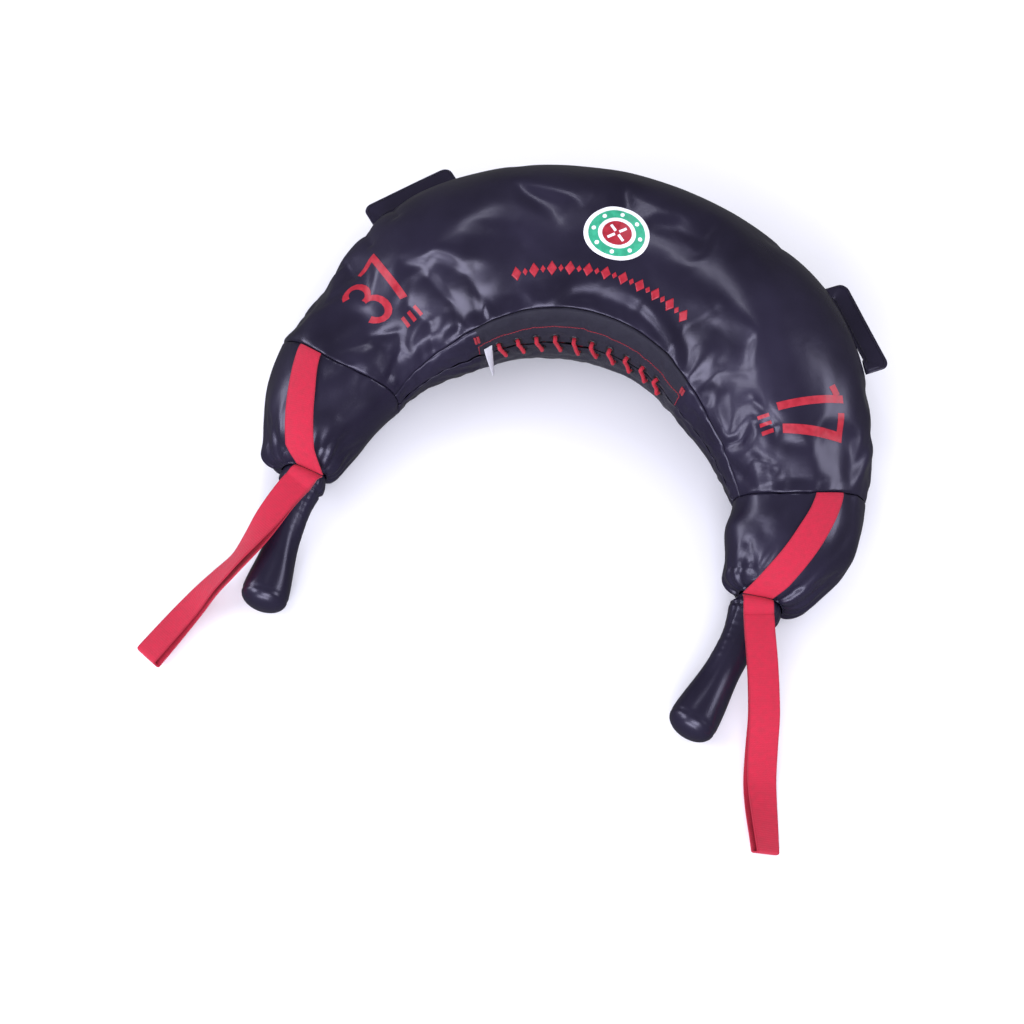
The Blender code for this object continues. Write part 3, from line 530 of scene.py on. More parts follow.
def blurred(field, spread):
    """A soft average of a grid that is open in its rows and closed in its columns."""
    reach = int(3 * spread)
    weights = np.exp(-0.5 * (np.arange(-reach, reach + 1) / spread) ** 2)
    weights /= weights.sum()
    rows = np.pad(field, ((reach, reach), (0, 0), (0, 0)), mode="edge")
    down = sum(weight * rows[i:i + len(field)] for i, weight in enumerate(weights))
    return sum(weight * np.roll(down, i - reach, 1) for i, weight in enumerate(weights))


def settle_cover():
    """Blows the bag's cloth up between its seams and keeps how it moves and folds, as a field of the grid."""
    look = bpy.context.scene.sandbag_cover
    columns = np.arange(sum(PANEL_COLUMNS), dtype=float)
    runs = np.linspace(-ARM_RUNS[-1], ARM_RUNS[1], CLOTH_ROWS)
    angles = angle_of(runs[:, None], columns[None])
    rest = skin_raw(runs[:, None], angles)
    cloth = mesh_piece("cloth_trial", rest.reshape(-1, 3), grid_faces(*rest.shape[:2], True))
    top, band = PANEL_COLUMNS[:2]
    held = np.zeros(rest.shape[:2])
    held[0] = held[-1] = 1.0
    held[:, [0, top, top + band]] = 1.0
    held[:, top + 1:top + band] = np.maximum(held[:, top + 1:top + band], 0.25)
    group = cloth.vertex_groups.new(name="held")
    for share in np.unique(held[held > 0]):
        group.add(np.flatnonzero(held.ravel() == share).tolist(), float(share), "REPLACE")
    modifier = cloth.modifiers.new("Cloth", "CLOTH")
    settings = modifier.settings
    settings.quality = 7
    settings.mass = 0.25
    settings.tension_stiffness = settings.compression_stiffness = look.cloth_stiffness
    settings.shear_stiffness = look.cloth_stiffness * 0.6
    settings.bending_stiffness = look.cloth_bending
    settings.air_damping = 1.5
    settings.use_pressure = True
    settings.uniform_pressure_force = look.pressure
    settings.shrink_min = -look.cloth_ease
    settings.vertex_group_mass = "held"
    settings.effector_weights.gravity = 0.0
    modifier.collision_settings.use_collision = False
    modifier.point_cache.frame_start, modifier.point_cache.frame_end = 1, CLOTH_FRAMES
    scene = bpy.context.scene
    for number in range(1, CLOTH_FRAMES + 1):
        scene.frame_set(number)
    made = cloth.evaluated_get(bpy.context.evaluated_depsgraph_get()).to_mesh()
    moved = np.empty(rest.size, np.float32)
    made.vertices.foreach_get("co", moved)
    scene.frame_set(1)
    mesh = cloth.data
    bpy.data.objects.remove(cloth)
    bpy.data.meshes.remove(mesh)
    field = moved.reshape(rest.shape).astype(float) - rest
    field -= look.bulge_removed * blurred(field, 9.0)
    size = np.linalg.norm(field, axis=-1, keepdims=True)
    field *= look.cloth_travel * np.tanh(size / look.cloth_travel) / np.maximum(size, 1e-9)
    SWELL.update(field=blurred(field, 0.7), runs=runs)


def dressed(run, angle, lift=0.0):
    """A point on the finished bag, at a lift over its cloth."""
    run, angle = paired(run, angle)
    place = leaned(run, angle)
    raw, normal = skin_raw(place, angle), skin_normal(place, angle)
    flat = raw + normal * (ripple(run, angle) + creased(raw, CREASES, run_at_turn))[..., None] + swell(run, angle)
    point = flat + normal * (np.zeros(run.shape) + lift)[..., None]
    point[..., 2] = np.maximum(point[..., 2], LOWEST_FACE - np.minimum(lift, 0.0))
    return point


# ---------------------------------------------------------------- meshes

def steps(first, last, count):
    return np.linspace(first, last, int(count) + 1)


def edged(length, cell):
    """Places from 0 to a length, close together at both rolled edges."""
    middle = steps(EDGE_REACH, length - EDGE_REACH, max(round((length - 2 * EDGE_REACH) / cell), 2))
    return np.concatenate([EDGE_PLACES, middle, length - EDGE_PLACES[::-1]])


def grid_faces(rows, columns, around=False, offset=0, flip=False):
    i, j = np.meshgrid(np.arange(rows - 1), np.arange(columns if around else columns - 1), indexing="ij")
    k = (j + 1) % columns
    faces = np.stack([i * columns + j, i * columns + k, (i + 1) * columns + k, (i + 1) * columns + j], -1)
    faces = faces.reshape(-1, 4) + offset
    return faces[:, ::-1] if flip else faces


def grid_normals(points, around=False):
    rows = np.gradient(points, axis=0)
    if around:
        columns = np.roll(points, -1, 1) - np.roll(points, 1, 1)
    else:
        columns = np.gradient(points, axis=1)
    return unit(np.cross(columns, rows))


def sheet_faces(rows, columns, around=False, start=0, back=True):
    """Faces of a sheet: its face, its back on a second grid of points, and the rim between them."""
    count = rows * columns
    faces = [grid_faces(rows, columns, around, start)]
    if back:
        faces.append(grid_faces(rows, columns, around, start + count, True))
    place = np.arange(count).reshape(rows, columns) + start
    for edge in [place[0], place[-1]] if around else [place[0], place[-1], place[:, 0], place[:, -1]]:
        a, b = (edge, np.roll(edge, -1)) if around else (edge[:-1], edge[1:])
        faces.append(np.stack([a, b, b + count, a + count], -1))
    return np.concatenate(faces)


def capped_faces(rows, columns):
    """Faces of a bar of rings with a cap at both ends."""
    total = rows * columns
    caps = [list(range(columns))[::-1], list(range(total - columns, total))]
    return grid_faces(rows, columns, True).tolist() + caps


def linked(name, data):
    """A new object in the scene."""
    item = bpy.data.objects.new(name, data)
    bpy.context.scene.collection.objects.link(item)
    return item


def mesh_piece(name, points, faces, uv=None, material=None, sharp=50.0):
    """A finished object: points, faces and the piece's own UV map, faces turned outwards."""
    mesh = bpy.data.meshes.new(name)
    mesh.from_pydata(np.asarray(points).tolist(), [], faces if isinstance(faces, list) else faces.tolist())
    if uv is not None:
        layer = mesh.uv_layers.new(name="UVMap")
        corners = np.empty(len(mesh.loops), np.int32)
        mesh.loops.foreach_get("vertex_index", corners)
        layer.data.foreach_set("uv", np.asarray(uv, np.float32)[corners].ravel())
    shape = bmesh.new()
    shape.from_mesh(mesh)
    bmesh.ops.recalc_face_normals(shape, faces=shape.faces[:])
    shape.to_mesh(mesh)
    shape.free()
    mesh.shade_smooth()
    if sharp:
        mesh.set_sharp_from_angle(angle=math.radians(sharp))
    if material:
        mesh.materials.append(material)
    return linked(name, mesh)


def cloth_piece(name, outer, uv, thickness, material, around=False):
    """A closed sheet of cloth: its face through a grid of points, and its back a thickness behind."""
    inner = outer - grid_normals(outer, around) * thickness
    inner[..., 2] = np.maximum(inner[..., 2], LOWEST_BACK)
    points = np.concatenate([outer.reshape(-1, 3), inner.reshape(-1, 3)])
    uv = np.concatenate([uv.reshape(-1, 2)] * 2)
    return mesh_piece(name, points, sheet_faces(*outer.shape[:2], around), uv, material, 0.0)


def measured_uv(points):
    """UV in metres: U across the columns, V down the rows."""
    across = np.linalg.norm(np.diff(points, axis=1), axis=-1)
    down = np.linalg.norm(np.diff(points, axis=0), axis=-1)
    u = np.concatenate([np.zeros((len(points), 1)), np.cumsum(across, 1)], 1)
    v = np.concatenate([np.zeros((1, points.shape[1])), np.cumsum(down, 0)], 0)
    return np.stack([u - u.mean(1, keepdims=True), v.mean(1, keepdims=True) + 0 * u], -1)


def tube(name, points, radius, sides, material):
    """A round bar along points, its rings carried along without twist."""
    tangents = unit(np.gradient(points, axis=0))
    across = np.array(Vector(tangents[0]).orthogonal().normalized())
    swing = 2 * math.pi * np.arange(sides)[:, None] / sides
    rings = []
    for point, tangent in zip(points, tangents):
        across = unit(across - tangent * (across @ tangent))
        spokes = across * np.cos(swing) + np.cross(tangent, across) * np.sin(swing)
        rings.append(point + spokes * radius)
    lengths = np.concatenate([[0], np.cumsum(np.linalg.norm(np.diff(points, axis=0), axis=1))])
    uv = np.stack(np.broadcast_arrays(np.arange(sides)[None] / sides, lengths[:, None]), -1)
    faces = capped_faces(len(points), sides)
    return mesh_piece(name, np.concatenate(rings), faces, uv.reshape(-1, 2), material, 0.0)


# ---------------------------------------------------------------- materials

def feed(tree, item, **sockets):
    """Sets a node's sockets by name or, as i0, i1, by number: a socket as a value is linked."""
    for key, value in sockets.items():
        numbered = key[0] == "i" and key[1:].isdigit()
        target = item.inputs[int(key[1:]) if numbered else key.replace("_", " ")]
        if isinstance(value, bpy.types.NodeSocket):
            tree.links.new(value, target)
        else:
            target.default_value = value
    return item


def add_node(tree, kind, settings=None, **sockets):
    """A node with its settings and its sockets."""
    item = tree.nodes.new(kind)
    for key, value in (settings or {}).items():
        setattr(item, key, value)
    return feed(tree, item, **sockets)


def math_node(tree, operation, *values):
    return add_node(tree, "ShaderNodeMath", {"operation": operation},
                    **{f"i{i}": v for i, v in enumerate(values)}).outputs[0]


def group_tree(name, inputs, outputs):
    tree = bpy.data.node_groups.new(name, "ShaderNodeTree")
    for label, value in inputs.items():
        tree.interface.new_socket(label, in_out="INPUT", socket_type="NodeSocketFloat").default_value = value
    for label in outputs:
        tree.interface.new_socket(label, in_out="OUTPUT", socket_type="NodeSocketFloat")
    return tree, tree.nodes.new("NodeGroupInput"), tree.nodes.new("NodeGroupOutput")


def grain_group():
    """Leather-like grain, soft dents and a slow shade, all on the object's own coordinates."""
    if "Coated grain" in bpy.data.node_groups:
        return bpy.data.node_groups["Coated grain"]
    tree, given, result = group_tree(
        "Coated grain",
        {"Grain Scale": 900.0, "Dent Scale": 30.0},
        ("Grain", "Dents", "Shade"),
    )
    place = add_node(tree, "ShaderNodeTexCoord").outputs["Object"]
    cells = add_node(tree, "ShaderNodeTexVoronoi", {"feature": "SMOOTH_F1"},
                     Vector=place, Scale=given.outputs[0], Smoothness=0.6)
    fine = add_node(tree, "ShaderNodeTexNoise", Vector=place, Scale=given.outputs[0], Detail=3.0)
    dents = add_node(tree, "ShaderNodeTexNoise", Vector=place, Scale=given.outputs[1], Detail=2.0, Distortion=0.4)
    slow = add_node(tree, "ShaderNodeTexNoise", Vector=place, Scale=9.0, Detail=5.0)
    grain = math_node(tree, "ADD", cells.outputs["Distance"], math_node(tree, "MULTIPLY", fine.outputs[0], 0.5))
    feed(tree, result, Grain=grain, Dents=dents.outputs[0], Shade=slow.outputs[0])
    return tree


def weave_group():
    """Threads over and under each other on the piece's own UV map, which is in metres."""
    if "Woven threads" in bpy.data.node_groups:
        return bpy.data.node_groups["Woven threads"]
    tree, given, result = group_tree(
        "Woven threads",
        {"Across": 900.0, "Along": 700.0},
        ("Height", "Shade", "Side"),
    )
    place = add_node(tree, "ShaderNodeUVMap", {"uv_map": "UVMap"}).outputs[0]
    split = add_node(tree, "ShaderNodeSeparateXYZ", i0=place)
    turns = (math_node(tree, "MULTIPLY", split.outputs[i], given.outputs[i]) for i in (0, 1))
    u, v = (math_node(tree, "MULTIPLY", turn, 2 * math.pi) for turn in turns)
    ribs = math_node(tree, "SINE", u)
    picks = math_node(tree, "SINE", math_node(tree, "ADD", v, math_node(tree, "MULTIPLY", ribs, 0.8)))
    weave = math_node(tree, "MULTIPLY_ADD", math_node(tree, "MULTIPLY", ribs, picks), 0.35, 0.5)
    height = math_node(tree, "MULTIPLY_ADD", math_node(tree, "ABSOLUTE", ribs), 0.4, weave)
    slow = add_node(tree, "ShaderNodeTexNoise", Vector=place, Scale=160.0, Detail=4.0)
    side = math_node(tree, "ABSOLUTE", split.outputs[0])
    feed(tree, result, Height=height, Shade=slow.outputs[0], Side=side)
    return tree


def new_material(name):
    material = bpy.data.materials.new(name)
    material.use_nodes = True
    return material, material.node_tree, material.node_tree.nodes["Principled BSDF"]


def colours(tree, share, dark, light):
    """A colour between two, in the share of the second."""
    mix = add_node(tree, "ShaderNodeMix", {"data_type": "RGBA"},
                   Factor=share, i6=(*dark, 1.0), i7=(*light, 1.0))
    return mix.outputs[2]


def ranged(tree, value, low, high, first, last):
    return add_node(tree, "ShaderNodeMapRange", i0=value, i1=low, i2=high, i3=first, i4=last).outputs[0]


def bump(tree, height, strength, distance, normal=None):
    under = {} if normal is None else {"Normal": normal}
    item = add_node(tree, "ShaderNodeBump", Height=height, Strength=strength, Distance=distance, **under)
    return item.outputs[0]


def coated_cloth(name, dark, light, gloss=(0.27, 0.40), dent_depth=0.0014):
    """Glossy coated cloth: fine grain, soft dents, a slow change of colour and gloss."""
    if name in bpy.data.materials:
        return bpy.data.materials[name]
    material, tree, shader = new_material(name)
    group = add_node(tree, "ShaderNodeGroup", {"node_tree": grain_group()},
                     Grain_Scale=900.0, Dent_Scale=26.0)
    grain, dents, shade = group.outputs
    fine = bump(tree, grain, 0.5, 0.00012)
    feed(tree, shader,
         Base_Color=colours(tree, ranged(tree, shade, 0.35, 0.65, 0.0, 1.0), dark, light),
         Roughness=ranged(tree, shade, 0.3, 0.7, *gloss),
         Normal=bump(tree, dents, 0.6, dent_depth, fine),
         Coat_Weight=0.36, Coat_Roughness=0.22, Specular_Tint=(0.82, 0.78, 1.0, 1.0))
    return material


def woven(name, dark, light, across, along, depth, roughness=(0.72, 0.9), edge=None):
    """Woven cloth on the piece's own UV map, darker towards its two edges where an edge is given."""
    if name in bpy.data.materials:
        return bpy.data.materials[name]
    material, tree, shader = new_material(name)
    group = add_node(tree, "ShaderNodeGroup", {"node_tree": weave_group()}, Across=across, Along=along)
    height, shade, side = group.outputs
    mixed = math_node(tree, "MULTIPLY_ADD", shade, 0.6, math_node(tree, "MULTIPLY", height, 0.35))
    if edge:
        mixed = math_node(tree, "SUBTRACT", mixed, ranged(tree, side, edge * 0.88, edge, 0.0, 0.35))
    feed(tree, shader,
         Base_Color=colours(tree, ranged(tree, mixed, 0.25, 0.75, 0.0, 1.0), dark, light),
         Roughness=ranged(tree, shade, 0.3, 0.7, *roughness),
         Normal=bump(tree, height, 0.7, depth),
         Sheen_Weight=0.10, Sheen_Roughness=0.4, Specular_IOR_Level=0.3)
    return material


def plain_finish(name, dark, light, roughness, scale, depth, metallic=0.0):
    """A small part's finish: two close colours, uneven gloss and a fine texture."""
    if name in bpy.data.materials:
        return bpy.data.materials[name]
    material, tree, shader = new_material(name)
    place = add_node(tree, "ShaderNodeTexCoord").outputs["Object"]
    noise = add_node(tree, "ShaderNodeTexNoise", Vector=place, Scale=scale, Detail=4.0).outputs[0]
    feed(tree, shader,
         Base_Color=colours(tree, ranged(tree, noise, 0.35, 0.65, 0.0, 1.0), dark, light),
         Roughness=ranged(tree, noise, 0.3, 0.7, *roughness),
         Normal=bump(tree, noise, 0.5, depth), Metallic=metallic)
    return material


def shaded(colour, share):
    return tuple(max(channel * share, 0.0) for channel in colour)


def glossy_vinyl():
    tone = bpy.context.scene.sandbag_cover.cloth_colour
    return coated_cloth("Glossy coated cloth", shaded(tone, 0.75), shaded(tone, 1.3))


def grip_vinyl():
    tone = bpy.context.scene.sandbag_cover.cloth_colour
    return coated_cloth("Grip coated cloth", shaded(tone, 0.7), shaded(tone, 1.2), (0.26, 0.38), 0.0006)


def matt_band():
    tone = bpy.context.scene.sandbag_cover.band_colour
    dark, light = shaded(tone, 0.8), shaded(tone, 1.2)
    return woven("Matt band cloth", dark, light, 1100.0, 1100.0, 0.00015, (0.5, 0.66))


def red_webbing():
    look = bpy.context.scene.sandbag_webbing
    dark, light = shaded(look.webbing_colour, 0.78), shaded(look.webbing_colour, 1.12)
    return woven("Red webbing", dark, light, 620.0, 420.0, 0.0004, edge=look.webbing_width / 2)


def red_lace():
    tone = bpy.context.scene.sandbag_lace.lace_colour
    return woven("Red lace", shaded(tone, 0.6), shaded(tone, 1.15), 6.0, 300.0, 0.0005, (0.6, 0.8))


def red_thread():
    tone = bpy.context.scene.sandbag_lace.thread_colour
    return plain_finish("Red thread", shaded(tone, 0.7), shaded(tone, 1.2), (0.5, 0.7), 1500.0, 0.0002)


def dark_thread():
    dark, light = (0.012, 0.011, 0.018), (0.03, 0.028, 0.04)
    return plain_finish("Dark thread", dark, light, (0.45, 0.65), 1500.0, 0.0002)


def print_ink(name, colour):
    """Printed ink, thin enough to let the gloss of the cloth through."""
    return plain_finish(name, shaded(colour, 0.82), shaded(colour, 1.1), (0.28, 0.42), 160.0, 0.0002)


# ---------------------------------------------------------------- node trees for what repeats

def geometry_tree(name, sizes):
    """A tree with named inputs for its sizes."""
    tree = bpy.data.node_groups.new(name, "GeometryNodeTree")
    tree.interface.new_socket("Geometry", in_out="INPUT", socket_type="NodeSocketGeometry")
    tree.interface.new_socket("Geometry", in_out="OUTPUT", socket_type="NodeSocketGeometry")
    for label, value in sizes.items():
        kind = "NodeSocketInt" if isinstance(value, int) else "NodeSocketFloat"
        tree.interface.new_socket(label, in_out="INPUT", socket_type=kind).default_value = value
    return tree, tree.nodes.new("NodeGroupInput"), tree.nodes.new("NodeGroupOutput")


def finish_tree(tree, result, instances, material):
    """Ends a tree in plain geometry with its material."""
    real = add_node(tree, "GeometryNodeRealizeInstances", i0=instances)
    done = add_node(tree, "GeometryNodeSetMaterial", i0=real.outputs[0], Material=material)
    feed(tree, result, i0=done.outputs[0])


def aligned(tree, axis, vector, rotation=None, pivot="AUTO"):
    before = {} if rotation is None else {"Rotation": rotation}
    return add_node(tree, "FunctionNodeAlignRotationToVector", {"axis": axis, "pivot_axis": pivot},
                    Vector=vector, **before).outputs[0]


def up_attribute(tree):
    item = add_node(tree, "GeometryNodeInputNamedAttribute", {"data_type": "FLOAT_VECTOR"}, Name="up")
    return item.outputs[0]


def stitch_tree(material):
    """Stitches of one length at one pitch along a line, each a small arch that dips at both ends."""
    name = "Stitch row " + material.name
    if name in bpy.data.node_groups:
        return bpy.data.node_groups[name]
    tree, given, result = geometry_tree(
        name, {"Pitch": 0.0042, "Stitch Length": 0.0031, "Thread": 0.0007, "Turn": 0.0}
    )
    line = add_node(tree, "GeometryNodeMeshToCurve", i0=given.outputs[0])
    spaced = add_node(tree, "GeometryNodeResampleCurve", {"mode": "LENGTH"},
                      Curve=line.outputs[0], Length=given.outputs[1])
    arch = add_node(tree, "GeometryNodeCurveQuadraticBezier", Resolution=5)
    for socket, reach, rise in (("Start", -0.5, -0.45), ("Middle", 0.0, 1.5), ("End", 0.5, -0.45)):
        corner = add_node(tree, "ShaderNodeCombineXYZ",
                          X=math_node(tree, "MULTIPLY", given.outputs[2], reach),
                          Z=math_node(tree, "MULTIPLY", given.outputs[3], rise))
        feed(tree, arch, **{socket: corner.outputs[0]})
    profile = add_node(tree, "GeometryNodeCurvePrimitiveCircle", Resolution=6,
                       Radius=math_node(tree, "MULTIPLY", given.outputs[3], 0.5))
    body = add_node(tree, "GeometryNodeCurveToMesh",
                    Curve=arch.outputs[0], Profile_Curve=profile.outputs[0], Fill_Caps=True)
    tangent = add_node(tree, "GeometryNodeInputTangent").outputs[0]
    turned = aligned(tree, "Z", up_attribute(tree), aligned(tree, "X", tangent), "X")
    twist = add_node(tree, "ShaderNodeCombineXYZ", Z=given.outputs[4])
    spun = add_node(tree, "FunctionNodeRotateRotation", {"rotation_space": "LOCAL"},
                    Rotation=turned, Rotate_By=twist.outputs[0])
    placed = add_node(tree, "GeometryNodeInstanceOnPoints",
                      Points=spaced.outputs[0], Instance=body.outputs[0], Rotation=spun.outputs[0])
    finish_tree(tree, result, placed.outputs[0], material)
    return tree


def eyelet_tree(material):
    """A rolled metal ring on each point, its face turned along the point's own up direction."""
    tree, given, result = geometry_tree("Eyelet rings", {"Ring Radius": 0.0039, "Ring Width": 0.0024})
    path = add_node(tree, "GeometryNodeCurvePrimitiveCircle", Resolution=20, Radius=given.outputs[1])
    profile = add_node(tree, "GeometryNodeCurvePrimitiveCircle", Resolution=8,
                       Radius=math_node(tree, "MULTIPLY", given.outputs[2], 0.5))
    ring = add_node(tree, "GeometryNodeCurveToMesh", Curve=path.outputs[0], Profile_Curve=profile.outputs[0])
    turned = aligned(tree, "Z", up_attribute(tree))
    placed = add_node(tree, "GeometryNodeInstanceOnPoints",
                      Points=given.outputs[0], Instance=ring.outputs[0], Rotation=turned, Scale=(1.0, 1.0, 0.5))
    finish_tree(tree, result, placed.outputs[0], material)
    return tree


def motif_tree(material):
    """A flat row of lozenges, every second one small, raised by one unit."""
    sizes = {"Count": 19, "Pitch": 0.010, "Width": 0.0112, "Height": 0.0165}
    tree, given, result = geometry_tree("Lozenge row", sizes)
    step = add_node(tree, "ShaderNodeCombineXYZ", X=given.outputs[2])
    line = add_node(tree, "GeometryNodeMeshLine", Count=given.outputs[1], Offset=step.outputs[0])
    grid = add_node(tree, "GeometryNodeMeshGrid", Size_X=0.7071, Size_Y=0.7071, Vertices_X=7, Vertices_Y=7)
    turned = add_node(tree, "GeometryNodeTransform", i0=grid.outputs[0], Rotation=(0.0, 0.0, math.pi / 4))
    raised = add_node(tree, "GeometryNodeExtrudeMesh",
                      Mesh=turned.outputs[0], Individual=False, Offset_Scale=1.0)
    odd = math_node(tree, "FLOORED_MODULO", add_node(tree, "GeometryNodeInputIndex").outputs[0], 2.0)
    share = math_node(tree, "MULTIPLY_ADD", odd, -0.48, 1.0)
    size = add_node(tree, "ShaderNodeCombineXYZ", X=math_node(tree, "MULTIPLY", given.outputs[3], share),
                    Y=math_node(tree, "MULTIPLY", given.outputs[4], share), Z=1.0)
    placed = add_node(tree, "GeometryNodeInstanceOnPoints",
                      Points=line.outputs[0], Instance=raised.outputs[0], Scale=size.outputs[0])
    finish_tree(tree, result, placed.outputs[0], material)
    return tree


def run_tree(name, points, edges, ups, tree, **sizes):
    """Runs a tree on a line or on points, and keeps the result as one plain mesh."""
    mesh = bpy.data.meshes.new(name + "_line")
    mesh.from_pydata(np.asarray(points, float).tolist(), edges, [])
    if ups is not None:
        mesh.attributes.new("up", "FLOAT_VECTOR", "POINT").data.foreach_set(
            "vector", np.asarray(ups, np.float32).ravel())
    holder = linked(name, mesh)
    modifier = holder.modifiers.new(tree.name, "NODES")
    modifier.node_group = tree
    for socket in tree.interface.items_tree:
        key = socket.name.replace(" ", "_")
        if socket.item_type == "SOCKET" and socket.in_out == "INPUT" and key in sizes:
            modifier[socket.identifier] = sizes[key]
    graph = bpy.context.evaluated_depsgraph_get()
    made = bpy.data.meshes.new_from_object(holder.evaluated_get(graph))
    holder.modifiers.remove(modifier)
    holder.data = made
    bpy.data.meshes.remove(mesh)
    made.shade_smooth()
    if "up" in made.attributes:
        made.attributes.remove(made.attributes["up"])
    if not len(made.polygons):
        raise RuntimeError(name + ": the node tree made nothing")
    return holder


def stitched(name, body, points, ups, material, pitch, length, thread, turn=0.0):
    """A row of stitches on a body."""
    edges = [(i, i + 1) for i in range(len(points) - 1)]
    row = run_tree(name, points, edges, ups, stitch_tree(material),
                   Pitch=pitch, Stitch_Length=length, Thread=thread, Turn=turn)
    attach(row, body)
    return row


def skin_line(runs, angles, lift):
    """Points and normals of a line on the bag's cloth."""
    runs, angles = paired(runs, angles)
    return dressed(runs, angles, lift), skin_normal(runs, angles)


# ---------------------------------------------------------------- the pieces

def panel_runs(cell):
    """Stations of the bag's cloth from one ring seam to the other."""
    return edged(ARM_RUNS[-1] + ARM_RUNS[1] - 2 * RING_TRIM, cell) - ARM_RUNS[-1] + RING_TRIM


def panel(name, first, last, cell, material):
    """A panel of the bag between two long seams, given as functions of the run."""
    runs = panel_runs(cell)
    middle = (first(0.0) + last(0.0)) / 2
    length = float(arc_scale(0.0, middle)[0]) * float(last(0.0) - first(0.0))
    shares = edged(length, cell) / length
    low, high = first(runs)[:, None] + PANEL_TRIM, last(runs)[:, None] - PANEL_TRIM
    grid = dressed(runs[:, None], low + (high - low) * shares[None])
    return cloth_piece(name, grid, measured_uv(grid), PANEL_THICKNESS, material)


def make_cover_panels():
    cloth = glossy_vinyl()
    cell = bpy.context.scene.sandbag_cover.cell
    top = panel("top_cover", lambda run: OUTER_SEAM + 0 * run, upper_seam, cell, cloth)
    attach(top, "bag")
    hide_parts("top_panel", "padding_upper", "sand_liner")
    bottom = panel("bottom_cover", lower_seam, lambda run: OUTER_SEAM + 360.0 + 0 * run, cell * 1.25, cloth)
    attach(bottom, "bag")
    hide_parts("bottom_panel", "padding_lower")


def glossy_beyond(item):
    """The inner bands are of the matt cloth between the bar tacks, and of the glossy cloth beyond."""
    item.data.materials.append(glossy_vinyl())
    for face in item.data.polygons:
        turn = math.degrees(math.atan2(face.center.x, face.center.y + MIDDLE_RADIUS))
        face.material_index = 0 if BAND_ENDS[0] < turn < BAND_ENDS[1] else 1


def slit_edge(side):
    """Angle of the closure's upper edge for -1, of its lower edge for 1."""
    return LACING_ANGLE + side * math.degrees(CLOSURE_SLIT / 2 / HALF_HEIGHT)


def make_bands():
    """The two matt inner bands."""
    cloth = matt_band()
    upper = panel("upper_band", upper_seam, lambda run: slit_edge(-1) + 0 * run, 0.0024, cloth)
    glossy_beyond(upper)
    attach(upper, "bag")
    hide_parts("inner_band_upper")
    lower = panel("lower_band", lambda run: slit_edge(1) + 0 * run, lower_seam, 0.0030, cloth)
    glossy_beyond(lower)
    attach(lower, "bag")
    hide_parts("inner_band_lower")


def make_flap():
    """The flap behind the lace."""
    turns = steps(LACING_MIDDLE_TURN - FLAP_HALF_TURN, LACING_MIDDLE_TURN + FLAP_HALF_TURN, 90)
    runs = run_at_turn(turns)[:, None]
    half = math.degrees(FLAP_WIDTH / 2 / HALF_WIDTH)
    angles = steps(LACING_ANGLE - half, LACING_ANGLE + half, 16)
    grid = skin_raw(runs, angles) - skin_normal(runs, angles) * FLAP_DEPTH
    flap = cloth_piece("closure_flap", grid, measured_uv(grid), FLAP_THICKNESS, matt_band())
    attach(flap, "bag")
    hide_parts("lace_flap")


def make_band_stitches():
    """The red top-stitch down, along and up the upper band, and two bar tacks at both of its ends."""
    thread = red_thread()
    left, right = run_at_turn(BAND_ENDS[0] + 0.5), run_at_turn(BAND_ENDS[1] - 1.0)
    runs = steps(left, right, 260)
    angles = upper_seam(runs) + TOP_STITCH_STEP / arc_scale(runs, upper_seam(runs))[0]
    down = steps(0.0, 1.0, 14)[1:]
    ends = []
    for run, angle in ((left, angles[0]), (right, angles[-1])):
        ends.append((run + 0 * down, angle + (slit_edge(-1) - 1.5 - angle) * down))
    runs = np.concatenate([ends[0][0][::-1], runs, ends[1][0]])
    angles = np.concatenate([ends[0][1][::-1], angles, ends[1][1]])
    stitched("band_top_stitch", "bag", *skin_line(runs, angles, 0.0003), thread, *TOP_STITCH)
    for word, run in (("left", left), ("right", right)):
        start = float(upper_seam(run)) + 5.0
        angles = steps(start, start + 5.5, 12)
        for number, aside in enumerate((-0.0022, 0.0026)):
            line = skin_line(run + aside + 0 * angles, angles, 0.0005)
            stitched(f"{word}_bar_tack_{number + 1}", "bag", *line, thread, *BAR_TACK)


def lace_turns():
    """Heading of each upper hole, and one column more."""
    start = LACING_MIDDLE_TURN - PITCH_TURN * LACE_STITCHES / 2
    return [start + PITCH_TURN * column for column in range(LACE_STITCHES + 1)]


def lower_turn(turn):
    return turn + LACE_LEAN_SHARE * PITCH_TURN


def lace_route():
    """One unbroken whip stitch: steep over both edges outside, and slanting back inside."""
    outside, inside = 0.0017, COVER_THICKNESS + LACE_CLEARANCE
    turns, half = lace_turns(), ROW_SPACING / 2
    straight, behind = half - LACE_BEND, inside + LACE_BEND

    def bend(turn, row, level, outward):
        drop = LACE_BEND * (1 - math.cos(math.pi / 4))
        flat = level + outward * LACE_BEND
        return [
            (turn, row * straight, flat),
            (turn, row * (half - drop), flat - outward * drop),
            (turn, row * half, level),
        ]

    before = lower_turn(turns[0] - PITCH_TURN)
    places = [(before, -straight, behind)]
    for turn in turns:
        places.append(((before + turn) / 2, 0.0, behind))
        if turn == turns[-1]:
            places.append((turn, straight, behind))
            break
        places += bend(turn, 1, inside, 1) + bend(turn, 1, -outside, -1)[::-1]
        after = lower_turn(turn)
        for share in (1 / 3, 2 / 3):
            lean = turn + share * (after - turn)
            places.append((lean, straight * (1 - 2 * share), -outside - LACE_BEND * 0.9))
        places += bend(after, -1, -outside, -1) + bend(after, -1, inside, 1)[::-1]
        before = after
    places = np.array(places)
    runs = run_at_turn(places[:, 0])
    angles = LACING_ANGLE - np.degrees(places[:, 1] / HALF_WIDTH)
    return dressed(runs, angles, -places[:, 2])


